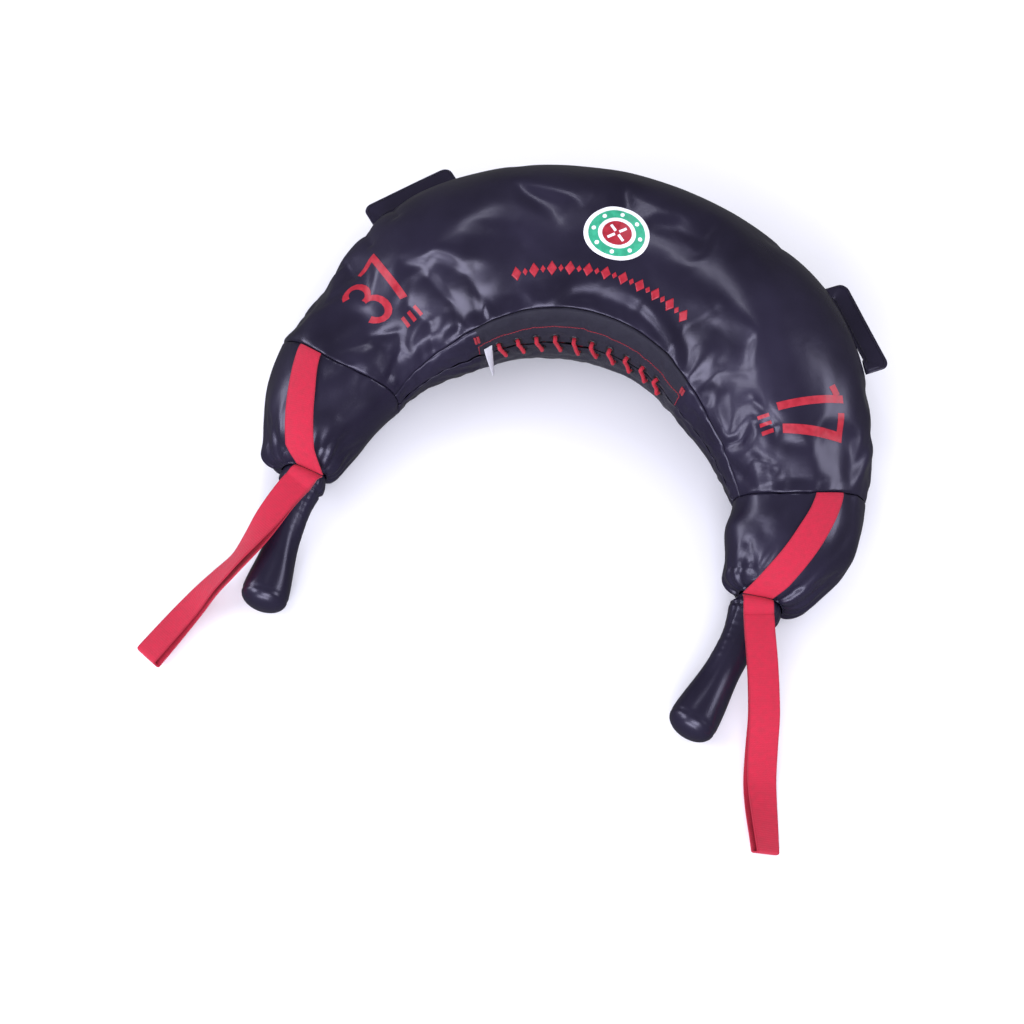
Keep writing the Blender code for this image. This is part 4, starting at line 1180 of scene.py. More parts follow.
def smooth_line(points, fine):
    """A smooth line through the points, with a number of steps between each pair."""
    points = np.concatenate([[2 * points[0] - points[1]], points, [2 * points[-1] - points[-2]]])
    made = []
    for a, b, c, d in zip(points, points[1:], points[2:], points[3:]):
        for t in np.arange(fine) / fine:
            made.append(0.5 * (2 * b + (c - a) * t + (2 * a - 5 * b + 4 * c - d) * t**2
                               + (3 * b - a - 3 * c + d) * t**3))
    return np.array(made + [points[-2]])


def make_lace_pieces():
    """The red lace, and a metal ring at each hole."""
    look = bpy.context.scene.sandbag_lace
    lace = tube("closure_lace", smooth_line(lace_route(), 5), look.lace_diameter / 2, 12, red_lace())
    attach(lace, "bag")
    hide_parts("lace")
    turns, half = lace_turns()[:-1], math.degrees(ROW_SPACING / 2 / HALF_WIDTH)
    runs = run_at_turn(np.array(turns + [lower_turn(turn) for turn in turns]))
    angles = np.array([LACING_ANGLE - half] * 10 + [LACING_ANGLE + half] * 10)
    metal = plain_finish("Dark eyelet metal", (0.05, 0.05, 0.055), (0.13, 0.12, 0.13), (0.28, 0.45), 900.0,
                         0.00005, 0.9)
    places = dressed(runs, angles, 0.0003)
    rings = run_tree("lace_eyelets", places, [], skin_normal(runs, angles), eyelet_tree(metal))
    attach(rings, "bag")
    names = [f"eyelet_{row}_{number:02d}" for row in ("upper", "lower") for number in range(1, 11)]
    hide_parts(*names)


# ---------------------------------------------------------------- printed figures and motifs

def wrapped(flat, turn, angle, lean=0.0, lift=PRINT_LIFT, arc=None, skew=0.0):
    """Flat points laid on the cloth: X along the run, Y towards the outside, Z a share of the lift."""
    flat = np.asarray(flat, float)
    swing = math.radians(lean)
    x = flat[:, 0] * math.cos(swing) - flat[:, 1] * math.sin(swing)
    y = flat[:, 0] * math.sin(swing) + flat[:, 1] * math.cos(swing)
    x, y = x + skew * y, y + skew * x
    start = float(run_at_turn(turn))
    round_, along = arc_scale(start, angle)
    if arc is None:
        place = angle - y / round_
        run = start + x / arc_scale(start, place)[1]
    else:
        run = start + x / along
        place = arc(run) - y / round_
    return dressed(run, place, lift * flat[:, 2])


def ribbon_grid(path, width, cell=0.0022):
    """A flat stroke of even width through a path, as rows of points."""
    path = np.asarray(path, float)
    heading = unit(np.diff(path, axis=0))
    rows = []
    for number, point in enumerate(path):
        before, after = heading[max(number - 1, 0)], heading[min(number, len(heading) - 1)]
        middle = unit(before + after)
        across = np.array([-middle[1], middle[0]])
        reach = width / 2 / max(float(across @ np.array([-after[1], after[0]])), 0.35)
        rows.append((point - across * reach, point + across * reach))
    rows = np.array(rows)
    fine = []
    for first, second in zip(rows, rows[1:]):
        count = max(round(np.linalg.norm((second - first).sum(0) / 2) / cell), 1)
        fine += [first + (second - first) * t for t in np.arange(count) / count]
    fine = np.array(fine + [rows[-1]])
    shares = steps(0.0, 1.0, max(round(width / cell), 2))[:, None]
    return fine[:, :1] + (fine[:, 1:] - fine[:, :1]) * shares


def arc_path(centre, radii, first, last):
    swing = np.radians(np.linspace(first, last, 14))
    return [(centre[0] + radii[0] * math.cos(a), centre[1] + radii[1] * math.sin(a)) for a in swing]


def digit_paths(digit, width, height, stroke):
    """Strokes of one plain figure, its lower left corner at the origin."""
    low, high = stroke / 2, height - stroke / 2
    left, right = stroke / 2, width - stroke / 2
    if digit == 1:
        stem = right - stroke * 0.5
        flag = [(stem - width * 0.52, height * 0.845), (stem - stroke * 0.45, height * 0.905)]
        return [[(stem, height), (stem, 0.0)], flag]
    if digit == 7:
        return [[(0.0, high), (right, high), (left + width * 0.12, 0.0)]]
    upper, lower = (high - low) * 0.23, (high - low) * 0.27
    waist = high - 2 * upper
    half = (right - left) / 2
    centre = (left + right) / 2
    top = arc_path((centre, high - upper), (half * 0.92, upper), 160, -90)
    bottom = arc_path((centre, low + lower), (half, lower), 90, -160)
    top = top[:-1] + [(centre - stroke * 0.1, waist)]
    return [top, [(centre - stroke * 0.1, waist)] + bottom[1:]]


def printed_slab(grids):
    """Points and faces of raised strokes: a top face at one and a skirt down to nothing."""
    points, faces, start = [], [], 0
    for grid in grids:
        flat = grid.reshape(-1, 2)
        points += [np.c_[flat, np.ones(len(flat))], np.c_[flat, np.zeros(len(flat))]]
        faces.append(sheet_faces(*grid.shape[:2], start=start, back=False))
        start += 2 * len(flat)
    return np.concatenate(points), np.concatenate(faces)


def print_piece(name, grids, turn, angle, lean, material, lift=PRINT_LIFT, skew=0.0):
    flat, faces = printed_slab(grids)
    item = mesh_piece(name, wrapped(flat, turn, angle, lean, lift, skew=skew), faces, None, material)
    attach(item, "bag")
    return item


def figure_grids(digits, height, widths, pitch, stroke, rise=0.0):
    """Flat strokes of a row of digits, each a pitch along and a rise above the one before."""
    grids = []
    for number, (digit, width) in enumerate(zip(digits, widths)):
        place = number - (len(digits) - 1) / 2
        shift = np.array([place * pitch - width / 2, place * rise - height / 2])
        grids += [ribbon_grid(path, stroke) + shift for path in digit_paths(digit, width, height, stroke)]
    return grids


def disc_ring(inner, outer, height_share=PATCH_SQUASH, sides=72):
    """A flat ring or disc as rows of points."""
    count = max(round((outer - inner) / 0.0025), 1)
    swing = np.linspace(0, 2 * math.pi, sides + 1)
    radii = np.linspace(max(inner, 1e-5), outer, count + 1)[:, None]
    return np.stack([radii * np.cos(swing), radii * height_share * np.sin(swing)], -1)


def make_figures(red):
    """Two plain weight figures, each with three bars for its unit mark."""
    look = bpy.context.scene.sandbag_print
    high, stroke = look.digit_height, look.digit_stroke
    left = figure_grids((3, 7), high * 1.03, (0.0300, 0.0265), 0.0325, stroke * 0.88, 0.0083)
    print_piece("left_weight_figures", left, *LEFT_FIGURES, red, skew=-0.14)
    right = figure_grids((1, 7), high * 1.12, (0.026, 0.026), 0.032, stroke)
    print_piece("right_weight_figures", right, *RIGHT_FIGURES, red)
    length, stroke, pitch = UNIT_BAR
    bars = [ribbon_grid([(x, -length / 2), (x, length / 2)], stroke, 0.0017) for x in (-pitch, 0.0, pitch)]
    for word, place in UNIT_BARS.items():
        print_piece(word + "_unit_bars", bars, *place, red)


def make_lozenge_row(red):
    """The row of lozenges between the patch and the upper band."""
    look = bpy.context.scene.sandbag_print
    count, pitch = look.motif_count, look.motif_pitch
    holder = run_tree("lozenge_row", [(0.0, 0.0, 0.0)], [], None, motif_tree(red), Count=count, Pitch=pitch)
    flat = np.array([tuple(point.co) for point in holder.data.vertices])
    flat[:, 0] -= (count - 1) * pitch / 2
    arc = lambda run: MOTIF_PLACE[1] + 3.0 * ((run - 0.012) / 0.13) ** 2
    place = wrapped(flat, *MOTIF_PLACE, arc=arc)
    holder.data.vertices.foreach_set("co", place.astype(np.float32).ravel())
    holder.data.update()
    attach(holder, "bag")


def make_patch(red):
    """A round patch: rings of three inks, with dots and a cross."""
    white = print_ink("White print ink", (0.80, 0.80, 0.82))
    green = print_ink("Green print ink", (0.03, 0.36, 0.20))
    inks = (("patch_rim", white), ("patch_green", green), ("patch_white", white), ("patch_red", red))
    for (name, ink), outer, inner in zip(inks, PATCH_RADII, PATCH_RADII[1:]):
        print_piece(name, [disc_ring(inner, outer)], *PATCH_PLACE, ink, PATCH_LIFT)
    spots, star = [], []
    for swing in math.pi / 4 * np.arange(8):
        tip = np.array([math.cos(swing), PATCH_SQUASH * math.sin(swing)])
        spots.append(disc_ring(0.0, PATCH_DOTS[1], 1.0, 12) + tip * PATCH_DOTS[0])
    for swing in math.pi / 2 * np.arange(4) + math.pi / 4:
        tip = np.array([math.cos(swing), PATCH_SQUASH * math.sin(swing)])
        star.append(ribbon_grid([tip * 0.003, tip * 0.0125], 0.003, 0.0015))
    print_piece("patch_dots", spots, *PATCH_PLACE, white, PATCH_MARK_LIFT)
    print_piece("patch_cross", star, *PATCH_PLACE, white, PATCH_MARK_LIFT)


# ---------------------------------------------------------------- cuffs and grips

def round_wave(angle, counts, seed):
    """An irregular wave round a closed section, between -1 and 1."""
    swing = np.radians(angle)
    first, second, third = counts
    return (
        np.sin(first * swing + seed) + 0.7 * np.sin(second * swing + 2.3 * seed)
        + 0.6 * np.sin(third * swing + 5.1 * seed)
    ) / 2.0


def cuff_run(side, share=1.0):
    """The run at a share of the way from the ring seam to the neck's mouth."""
    return side * (ARM_RUNS[side] + CUFF_LENGTH * share)


def cuff_lift(run, angle, side):
    """Rolled ring seam, gathers that deepen towards the mouth, and soft creases."""
    look = bpy.context.scene.sandbag_cover
    off = np.abs(run) - ARM_RUNS[side]
    share = ramp(off, 0.0, CUFF_LENGTH)
    lift = rolled(off, look.seam_roll)
    lift += look.pucker_depth * 0.9 * round_wave(angle, (17, 11, 26), 2.0 + side) * np.exp(-off / 0.010)
    lift += look.gather_depth * eased(ramp(share, 0.52, 0.40)) * mouth_gather(angle, side)
    soft = round_wave(angle + 60 * share, (3, 5, 8), 3.0 + side)
    return lift + look.lump_depth * 1.2 * soft * np.sin(math.pi * np.clip(share * 1.15, 0, 1))


def mouth_gather(angle, side):
    return round_wave(angle, (9, 14, 22), 0.7 + side)


# Creases of each cuff: share of its length and angle of each point, then width and depth in millimetres
CUFF_CREASES = {
    -1: (
        (((0.66, 150), (0.82, 130), (0.92, 114)), 7.0, 2.6),
        (((0.60, 174), (0.78, 164), (0.92, 152)), 7.0, 2.2),
        (((0.70, 34), (0.84, 48), (0.92, 60)), 7.0, 2.6),
        (((0.56, 14), (0.76, 24), (0.93, 34)), 7.0, 2.2),
        (((0.05, 120), (0.28, 132), (0.52, 128)), 11.0, 2.0),
        (((0.12, 96), (0.30, 104), (0.55, 108)), 11.0, 1.4),
    ),
    1: (
        (((0.62, 136), (0.80, 122), (0.92, 112)), 7.5, 2.6),
        (((0.84, 172), (0.87, 146), (0.88, 122)), 6.0, 2.4),
        (((0.66, 24), (0.82, 42), (0.91, 58)), 7.0, 2.6),
        (((0.56, 8), (0.76, 20), (0.92, 32)), 8.0, 2.4),
        (((0.04, 112), (0.24, 120), (0.50, 124)), 11.0, 2.0),
        (((0.10, 44), (0.32, 40), (0.56, 48)), 11.0, 2.0),
    ),
}


def under_webbing(run, angle, side):
    """How much of the cuff's cloth is free of the webbing sewn over it: 0 under it, 1 beside it."""
    share = ramp(np.abs(run), ARM_RUNS[side], CUFF_LENGTH)
    off = np.radians(np.abs(angle_between(angle, anchor_angle(share)))) * girth_at(run)[0]
    half = bpy.context.scene.sandbag_webbing.webbing_width / 2
    return eased(ramp(off, half + 0.001, 0.006))


def anchor_angle(share):
    """Angle of the sewn webbing's middle at a share of the cuff's length."""
    return ANCHOR_ANGLES[0] + (ANCHOR_ANGLES[1] - ANCHOR_ANGLES[0]) * share


def cuff_dressed(run, angle, side, lift=0.0):
    """A point on the finished cuff, at a lift over its cloth."""
    run, angle = paired(run, angle)
    place = leaned(run, angle)
    raw, normal = skin_raw(place, angle), skin_normal(place, angle)
    total = cuff_lift(run, angle, side) + lift
    total += creased(raw, CUFF_CREASES[side], lambda share: cuff_run(side, share))
    free = under_webbing(run, angle, side)
    total = total * free + (1 - free) * (np.minimum(total - lift, -0.0002) * 0.35 + lift)
    share = (np.abs(run) - ARM_RUNS[side]) / CUFF_LENGTH
    aside = sum(far * hill(share - at, long) * hill(angle_between(angle, turn), wide)
                for at, turn, long, wide, far in CUFF_SHAPES[side])
    point = raw + normal * total[..., None] + outward_at(run) * (aside * np.cos(np.radians(angle)))[..., None]
    point[..., 2] = np.maximum(point[..., 2], LOWEST_FACE)
    return point


def neck_centre(side):
    """Middle of the ball that the cuff's mouth holds."""
    ahead = math.sqrt((NECK_RADIUS + RUNNING_GAP) ** 2 - (MOUTH_RADIUS - COVER_THICKNESS) ** 2)
    run = cuff_run(side)
    x, y = axis_at(run)[:2]
    return np.array([float(x), float(y), NECK_HEIGHT]) + forward_at(run) * ahead


def grip_heading(side, aside=0.0):
    """Direction of the grip in plan, or a direction turned inwards from it by some degrees."""
    turn = float(axis_at(cuff_run(side))[2]) + math.radians(GRIP_TURNS[side] - aside)
    return np.array([side * math.cos(turn), -math.sin(turn), 0.0])


def spokes(across, angles):
    """Directions round an axis, from the direction across at 0 to straight up at 90 degrees."""
    swing = np.radians(angles)[:, None]
    return across * np.cos(swing) + UP * np.sin(swing)


def make_cuff_piece(word, side):
    """The sewn end of the arm, gathered to the neck's mouth."""
    cell = bpy.context.scene.sandbag_cover.cell
    body = edged(CUFF_LENGTH * 0.90, cell)
    body = body[body < CUFF_LENGTH * 0.885]
    fine = 1.0 - np.linspace(math.sqrt(1 - 0.90), 0.0, 26) ** 2
    shares = np.concatenate([body / CUFF_LENGTH, fine])
    runs = side * (ARM_RUNS[side] + RING_TRIM + (CUFF_LENGTH - RING_TRIM) * shares)
    angles = steps(0.0, 360.0, 150)[:-1]
    grid = cuff_dressed(runs[:, None], angles[None], side)
    run = cuff_run(side)
    gather, spoke = mouth_gather(angles, side)[:, None], spokes(outward_at(run), angles)
    lips = [neck_centre(side) + forward_at(run) * back + spoke * (radius + fold * gather)
            for back, radius, fold in CUFF_LIPS]
    grid = np.concatenate([grid[:-1], np.array(lips)])
    if side < 0:
        grid = grid[::-1]
    cuff = cloth_piece(word + "_cuff_cover", grid, measured_uv(grid), 0.0012, glossy_vinyl(), True)
    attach(cuff, "bag")
    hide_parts(word + "_cuff", word + "_cuff_padding")


def grip_drop(side, along):
    """How far the grip's axis has sunk at a place ahead of the neck's centre."""
    return (KNOB_RADIUS + FLOOR_GAP - NECK_HEIGHT) * eased(ramp(along, 0.0, GRIP_LENGTHS[side]))


def grip_share(side, along):
    start = NECK_FRONT + RUNNING_GAP
    return (along - start) / (GRIP_LENGTHS[side] - start)


def flared(share):
    """Radius of the sleeve between its wide root and the hand."""
    return GRIP_RADIUS + (GRIP_ROOT_RADIUS - GRIP_RADIUS) * np.maximum(1.0 - share / FLARE_SHARE, 0.0) ** 2


def grip_radius(side, along):
    """Radius of the sleeve at a place ahead of the neck's centre."""
    share = np.clip(grip_share(side, along), 0.0, 1.0)
    radius = flared(share) + (KNOB_RADIUS - GRIP_RADIUS) * eased(ramp(share, SWELL_START, SWELL_SHARE))
    return radius * np.sqrt(np.maximum(1.0 - ramp(share, 1.0 - CAP_SHARE, CAP_SHARE) ** 2.6, 0.0))


def grip_top(side, along):
    """Height of the sleeve's top over the neck's centre."""
    return float(flared(grip_share(side, along)) + grip_drop(side, along))


def make_grip_piece(word, side):
    """The neck's cloth and the grip's sleeve: gathered at the root, smooth in the hand, round at the knob."""
    look = bpy.context.scene.sandbag_cover
    heading, centre, tail = grip_heading(side), neck_centre(side), GRIP_LENGTHS[side]
    ball = steps(-0.0165, NECK_FRONT - 0.0012, 14)
    stem = steps(NECK_FRONT + 0.0003, tail * (1.0 - CAP_SHARE), 58)
    cap = tail - (tail * CAP_SHARE) * np.linspace(1.0, 0.0, 20)[1:] ** 2
    places = np.concatenate([ball, stem, cap])[:, None]
    angles = steps(0.0, 360.0, 96)[:-1]
    on_ball = np.sqrt(np.maximum(NECK_RADIUS**2 - places**2, 0)) - 0.0001
    radius = np.where(places < NECK_FRONT, on_ball, grip_radius(side, places))
    share = np.clip(places / tail, 0, 1)

    # Pinch at the neck's edge, gathers of the root, and soft unevenness along the hand
    pinch = -0.0022 * hill(places - NECK_FRONT + 0.0004, 0.0016)
    root = np.exp(-np.maximum(places - NECK_FRONT, 0.0) / 0.016) * ramp(places, -0.012, 0.01)
    gathers = look.gather_depth * 0.42 * root * round_wave(angles, (13, 19, 8), 1.9 + side)
    soft = 0.0009 * round_wave(angles + 120 * share, (2, 3, 5), 4.0 + side) * np.sin(math.pi * share)

    # Fine gathers on one side of the hand, the bulge of the right root, the seam and the knob's ring
    along = ramp(share, 0.0, 0.08) * ramp(0.55 - share, 0.0, 0.2) * rough_wave(places / 0.0075, 3.0 + side)
    fine = 0.0004 * hill(angle_between(angles, GRIP_GATHER_ANGLES[side]), 60.0) * along
    bulge = GRIP_BULGES[side] * hill(angles - 180.0, 55.0) * hill(places, 0.034) * ramp(places, 0.001, 0.006)
    seam = 0.0011 * hill(angles - GRIP_SEAM_ANGLE, 2.2) * np.clip(share * 6, 0, 1)
    knob = 0.0007 * hill(places - tail * KNOB_RING_SHARE, 0.0016)
    total = np.maximum(radius + pinch + gathers + soft + fine + bulge - seam - knob, 0.0004)

    spoke = spokes(np.array([-heading[1], heading[0], 0.0]), angles)
    axis = centre + heading * places + UP * grip_drop(side, np.maximum(places, 0.0))
    grid = axis[:, None] + spoke[None] * total[..., None]
    grid[..., 2] = np.maximum(grid[..., 2], LOWEST_FACE)
    rows, columns = grid.shape[:2]
    count, first = rows * columns, np.arange(columns)
    after, last = np.roll(first, -1), first + count - columns
    faces = grid_faces(rows, columns, True).tolist()
    faces += np.stack([last, after + count - columns, 0 * last + count], -1).tolist()
    faces += np.stack([after, first, first + count + 1, after + count + 1], -1).tolist()
    points = np.concatenate([grid.reshape(-1, 3), [grid[-1].mean(0)], grid[0] - spoke * 0.0012])
    uv = measured_uv(grid)
    uv = np.concatenate([uv.reshape(-1, 2), [uv[-1, 0]], uv[0]])
    grip = mesh_piece(word + "_grip_cover", points, faces, uv, grip_vinyl(), 0.0)
    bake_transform(grip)
    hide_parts(word + "_neck", word + "_grip_sleeve", word + "_grip_core")


# ---------------------------------------------------------------- webbing

def strap_piece(name, sheets, material):
    """Webbing as one or more sheets of rows, each a closed strip of even thickness."""
    thickness = bpy.context.scene.sandbag_webbing.webbing_thickness
    points, faces, uvs, start = [], [], [], 0
    for rows in sheets:
        normal = grid_normals(rows)
        for sign in (1, -1):
            points.append((rows + normal * sign * thickness / 2).reshape(-1, 3))
            uvs.append(measured_uv(rows).reshape(-1, 2))
        faces.append(sheet_faces(*rows.shape[:2], start=start))
        start += 2 * rows.shape[0] * rows.shape[1]
    points = np.concatenate(points)
    points[:, 2] = np.maximum(points[:, 2], LOWEST_BACK)
    return mesh_piece(name, points, np.concatenate(faces), np.concatenate(uvs), material, 40.0)


def columns_across():
    """Places across the webbing, close together at both edges."""
    half = bpy.context.scene.sandbag_webbing.webbing_width / 2
    middle = steps(-half + 0.003, half - 0.003, 10)
    return np.concatenate([[-half, -half + 0.0012], middle, [half - 0.0012, half]])


def loop_frame(side):
    """Pivot, heading and direction across of the webbing loop."""
    layers = bpy.context.scene.sandbag_webbing.webbing_thickness + LOOP_LAYER_GAP / 2
    over = LOOP_ROOT_PLACE + LOOP_ASIDES[side] * math.tan(math.radians(LOOP_TURNS[side]))
    rise = grip_top(side, over) + LOOP_ROOT_GAP + layers
    pivot = neck_centre(side) + grip_heading(side) * LOOP_ROOT_PLACE + UP * rise
    pivot = pivot + grip_heading(side, 90.0) * LOOP_ASIDES[side]
    heading = grip_heading(side, LOOP_TURNS[side])
    return pivot, heading, np.array([-heading[1], heading[0], 0.0])


def anchor_across(side):
    """Direction across the sewn webbing at its lower end, in plan."""
    across = outward_at(cuff_run(side)) * side
    return across if across @ loop_frame(side)[2] > 0 else -across


def fold_across(side):
    """Direction of the fold at the neck: between the sewn webbing and the loop."""
    return unit(loop_frame(side)[2] + anchor_across(side))


def fold_centre(side):
    """Middle of the line at the neck where the webbing turns from cuff to loop."""
    pivot, heading = loop_frame(side)[:2]
    thickness = bpy.context.scene.sandbag_webbing.webbing_thickness
    centre = pivot - heading * FOLD_BACK
    centre[2] = neck_centre(side)[2] + NECK_RADIUS + thickness / 2 + FOLD_RISE
    return centre


def make_anchor_piece(word, side):
    """The webbing sewn down the cuff, from the ring seam to the fold at the neck."""
    thickness = bpy.context.scene.sandbag_webbing.webbing_thickness
    columns = columns_across()
    rows = []
    for share in steps(0.0, 0.90, 44):
        run = side * (ARM_RUNS[side] + 0.001 + (CUFF_LENGTH - 0.001) * share)
        turned = anchor_angle(share) - np.degrees(columns / float(girth_at(run)[0]))
        place = leaned(run, turned)
        plain = skin_raw(place, turned) + skin_normal(place, turned) * (ANCHOR_LIFT + thickness / 2)
        near = cuff_dressed(run, turned, side, ANCHOR_LIFT + thickness / 2)
        lifted = np.maximum(near[:, 2], plain[:, 2] - 0.0002)
        point = plain * 0.6 + near * 0.4
        point[:, 2] = np.maximum(point[:, 2], lifted * 0.5 + point[:, 2] * 0.5)
        dip = 0.0016 * math.exp(-(share * CUFF_LENGTH / 0.0025))
        rows.append(point - skin_normal(run, turned) * dip)
    heading, across = loop_frame(side)[1:]
    last, before = rows[-1], rows[-4]
    sign = math.copysign(1.0, (last[-1] - last[0]) @ across)
    end = fold_centre(side) - heading * 0.0008 + fold_across(side) * (sign * columns)[:, None]
    end[:, 2] -= 0.0004
    for t in (0.30, 0.55, 0.78, 1.0):
        straight = last + (last - before) * 0.8 * t * (1 - t)
        rows.append(straight * (1 - t) + end * t)
    strap = strap_piece(word + "_anchor_webbing", [np.array(rows)], red_webbing())
    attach(strap, "bag")
    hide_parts(word + "_anchor_strap")


def make_fold_piece(word, side):
    """The webbing over the neck, from the fold to the root of the loop."""
    pivot, heading, across = loop_frame(side)
    thickness = bpy.context.scene.sandbag_webbing.webbing_thickness
    half_gap = (thickness + LOOP_LAYER_GAP) / 2
    columns = columns_across()
    centre = fold_centre(side) + heading * 0.0006
    upper, lower = [], []
    for t in steps(0.0, 1.0, 16):
        point = centre + (pivot - centre) * t
        start, rise = centre[2] + 0.0012, 0.0026 * math.sin(math.pi * min(t * 1.2, 1.0))
        point[2] = start + (pivot[2] + half_gap - start) * eased(t) + rise - 0.0030 * math.exp(-t / 0.07)
        row = point + unit(fold_across(side) * (1 - t) + across * t) * columns[:, None]
        row[:, 2] -= 0.0016 * (1.0 - t) * (columns / columns[-1]) ** 2
        upper.append(row)
        lower.append(row - UP * (2 * half_gap * min(t * 1.5, 1.0)))
    strap = strap_piece(word + "_fold_webbing", [np.array(upper), np.array(lower[6:])], red_webbing())
    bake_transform(strap)


def make_loop_piece(word, side):
    """The folded webbing loop, in two layers, which falls to the floor and lies there."""
    look = bpy.context.scene.sandbag_webbing
    pivot, heading, across = loop_frame(side)
    thickness = look.webbing_thickness
    half_gap = (thickness + LOOP_LAYER_GAP) / 2
    fall = pivot[2] - FLOOR_GAP - thickness - LOOP_LAYER_GAP / 2
    length = LOOP_LENGTH - half_gap
    columns = columns_across()

    def middle(share):
        height = float(smooth_read(LOOP_PLACES, LOOP_HEIGHTS, share)) - 1.0
        sway = float(smooth_read(LOOP_PLACES, SWAYS[side], share))
        return np.array([length * share, LOOP_LENGTH * sway, fall * height])

    def row(share, level, ahead=0.0):
        slope = middle(min(share + 1e-3, 1.0)) - middle(max(share - 1e-3, 0.0))
        flat = unit(np.array([slope[0], 0.0, slope[2]])) if share else np.array([1.0, 0, 0])
        upright = np.array([-flat[2], 0.0, flat[0]])
        apart = float(smooth_read((0, 0.4, 1), (0, 0.2, 1), share))
        point = middle(share) + flat * ahead
        point[1] -= LOOP_SIDE_STEP * side * (1 - level) / 2 * apart
        roll = -side * math.radians(look.loop_roll * float(smooth_read(LOOP_PLACES, ROLLS[side], share)))
        raised = float(smooth_read((0, 0.5, 0.75, 1), (0, 0, 0.9, 1), share))
        point[2] += look.webbing_width / 2 * abs(math.sin(roll)) * raised
        wide = np.array([0.0, math.cos(roll), 0.0]) + upright * math.sin(roll)
        thick = upright * math.cos(roll) - np.array([0.0, math.sin(roll), 0.0])
        slack = 1.0 + 0.9 * math.sin(math.pi * share) ** 2 + 0.5 * math.sin(9 * share + side)
        bow = 0.0006 * math.sin(math.pi * min(share * 1.3, 1.0)) * (columns / columns[-1]) ** 2
        return point + thick * (half_gap * level * max(slack, 1.0) - bow)[:, None] + wide * columns[:, None]

    shares = steps(0.0, 1.0, 64)
    rows = [row(share, 1) for share in shares]
    rows += [row(1.0, math.cos(bend), half_gap * math.sin(bend)) for bend in math.pi / 6 * np.arange(1, 6)]
    rows += [row(share, -1) for share in shares[::-1]]
    rows = np.array(rows)
    world = pivot + heading * rows[..., :1] + across * rows[..., 1:2] + UP * rows[..., 2:]
    world[..., 2] = np.maximum(world[..., 2], FLOOR_GAP + thickness / 2)
    strap = strap_piece(word + "_loop_webbing", [world], red_webbing())
    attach(strap, word + "_loop")
    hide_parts(word + "_loop_strap")


# ---------------------------------------------------------------- carry loops and label

def carry_frame(side):
    """Pivot and axes of a carry loop: along the seam, out from it, and across its thickness."""
    half = CARRY_LENGTH / 2 - CARRY_FOOT
    run = float(run_at_turn(CARRY_TURNS[side]))
    step = half * ARM_RADIUS / (ARM_RADIUS + float(girth_at(run)[0]))
    ends = [skin_raw(run + part * step, OUTER_SEAM) for part in (-1, 1)]
    along = unit(ends[1] - ends[0])
    swing = math.radians(CARRY_TILT)
    out = outward_at(run) * math.cos(swing) + UP * math.sin(swing)
    out = unit(out - along * (out @ along))
    seat = 0.0004 + CARRY_THICKNESS / 2
    pivot = (ends[0] + ends[1]) / 2 + skin_normal(run, OUTER_SEAM) * seat
    return pivot, along, out, np.cross(along, out)


def carry_sections():
    """Inner and outer edge points of the flat band, from one foot round to the other."""
    inner, outer = CARRY_LENGTH / 2 - CARRY_FOOT, CARRY_LENGTH / 2
    slot, straight = CARRY_SLOT, CARRY_DEPTH - CARRY_CORNER
    pairs = [((inner, depth * slot), (outer, depth * straight)) for depth in (-0.25, 0.0, 0.4, 0.8)]
    for step in range(7):
        bend = math.pi / 2 * step / 6
        turn = (math.cos(bend) - 1, math.sin(bend) - 1)
        near = (inner + 0.002 * turn[0], slot + 0.002 * turn[1])
        pairs.append((near, (outer + CARRY_CORNER * turn[0], CARRY_DEPTH + CARRY_CORNER * turn[1])))
    for share in (0.8, 0.6, 0.4, 0.2):
        pairs.append(((inner * share, slot), ((outer - CARRY_CORNER) * share, CARRY_DEPTH)))
    mirrored = [((-a[0], a[1]), (-b[0], b[1])) for a, b in pairs[::-1]]
    return pairs + [((0.0, slot), (0.0, CARRY_DEPTH))] + mirrored


def make_carry_piece(word, side):
    """A flat folded band of the bag's cloth, hemmed and stitched along both edges."""
    pivot, along, out, across = carry_frame(side)
    pairs = np.array(carry_sections())
    near, far = pairs[:, 0], pairs[:, 1]
    count = len(pairs)
    swing = 2 * math.pi * np.arange(28) / 28
    c, s = np.cos(swing), np.sin(swing)
    wide = np.sign(c) * np.abs(c) ** 0.7
    hem = 1.0 - 0.28 * hill(np.abs(wide) - 0.72, 0.07)
    section = np.sign(s) * np.abs(s) ** 0.75 * CARRY_THICKNESS / 2 * hem
    share = (np.arange(count) / (count - 1))[:, None]
    thick = section * (0.84 + 0.16 * np.sin(17 * share + side) * np.sin(7 * share))
    sway = 0.0007 * np.sin(6.0 * share + side)
    flat = (near + far)[:, None] / 2 + (far - near)[:, None] / 2 * wide[:, None]
    grid = pivot + along * flat[..., :1] + out * flat[..., 1:] + across * (thick + sway)[..., None]
    uv = measured_uv(grid).reshape(-1, 2)
    faces = capped_faces(*grid.shape[:2])
    band = mesh_piece(word + "_carry_band", grid.reshape(-1, 3), faces, uv, glossy_vinyl(), 0.0)
    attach(band, word + "_carry")
    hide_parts(word + "_carry_loop")
    for number, share in enumerate(CARRY_STITCH_SHARES):
        flat = (near + (far - near) * share)[3:-3]
        line = pivot + along * flat[:, :1] + out * flat[:, 1:] + across * (CARRY_THICKNESS / 2 - 0.0003)
        ups = np.broadcast_to(across, line.shape)
        stitched(f"{word}_carry_stitch_{number + 1}", word + "_carry", line, ups, dark_thread(), *CARRY_STITCH)


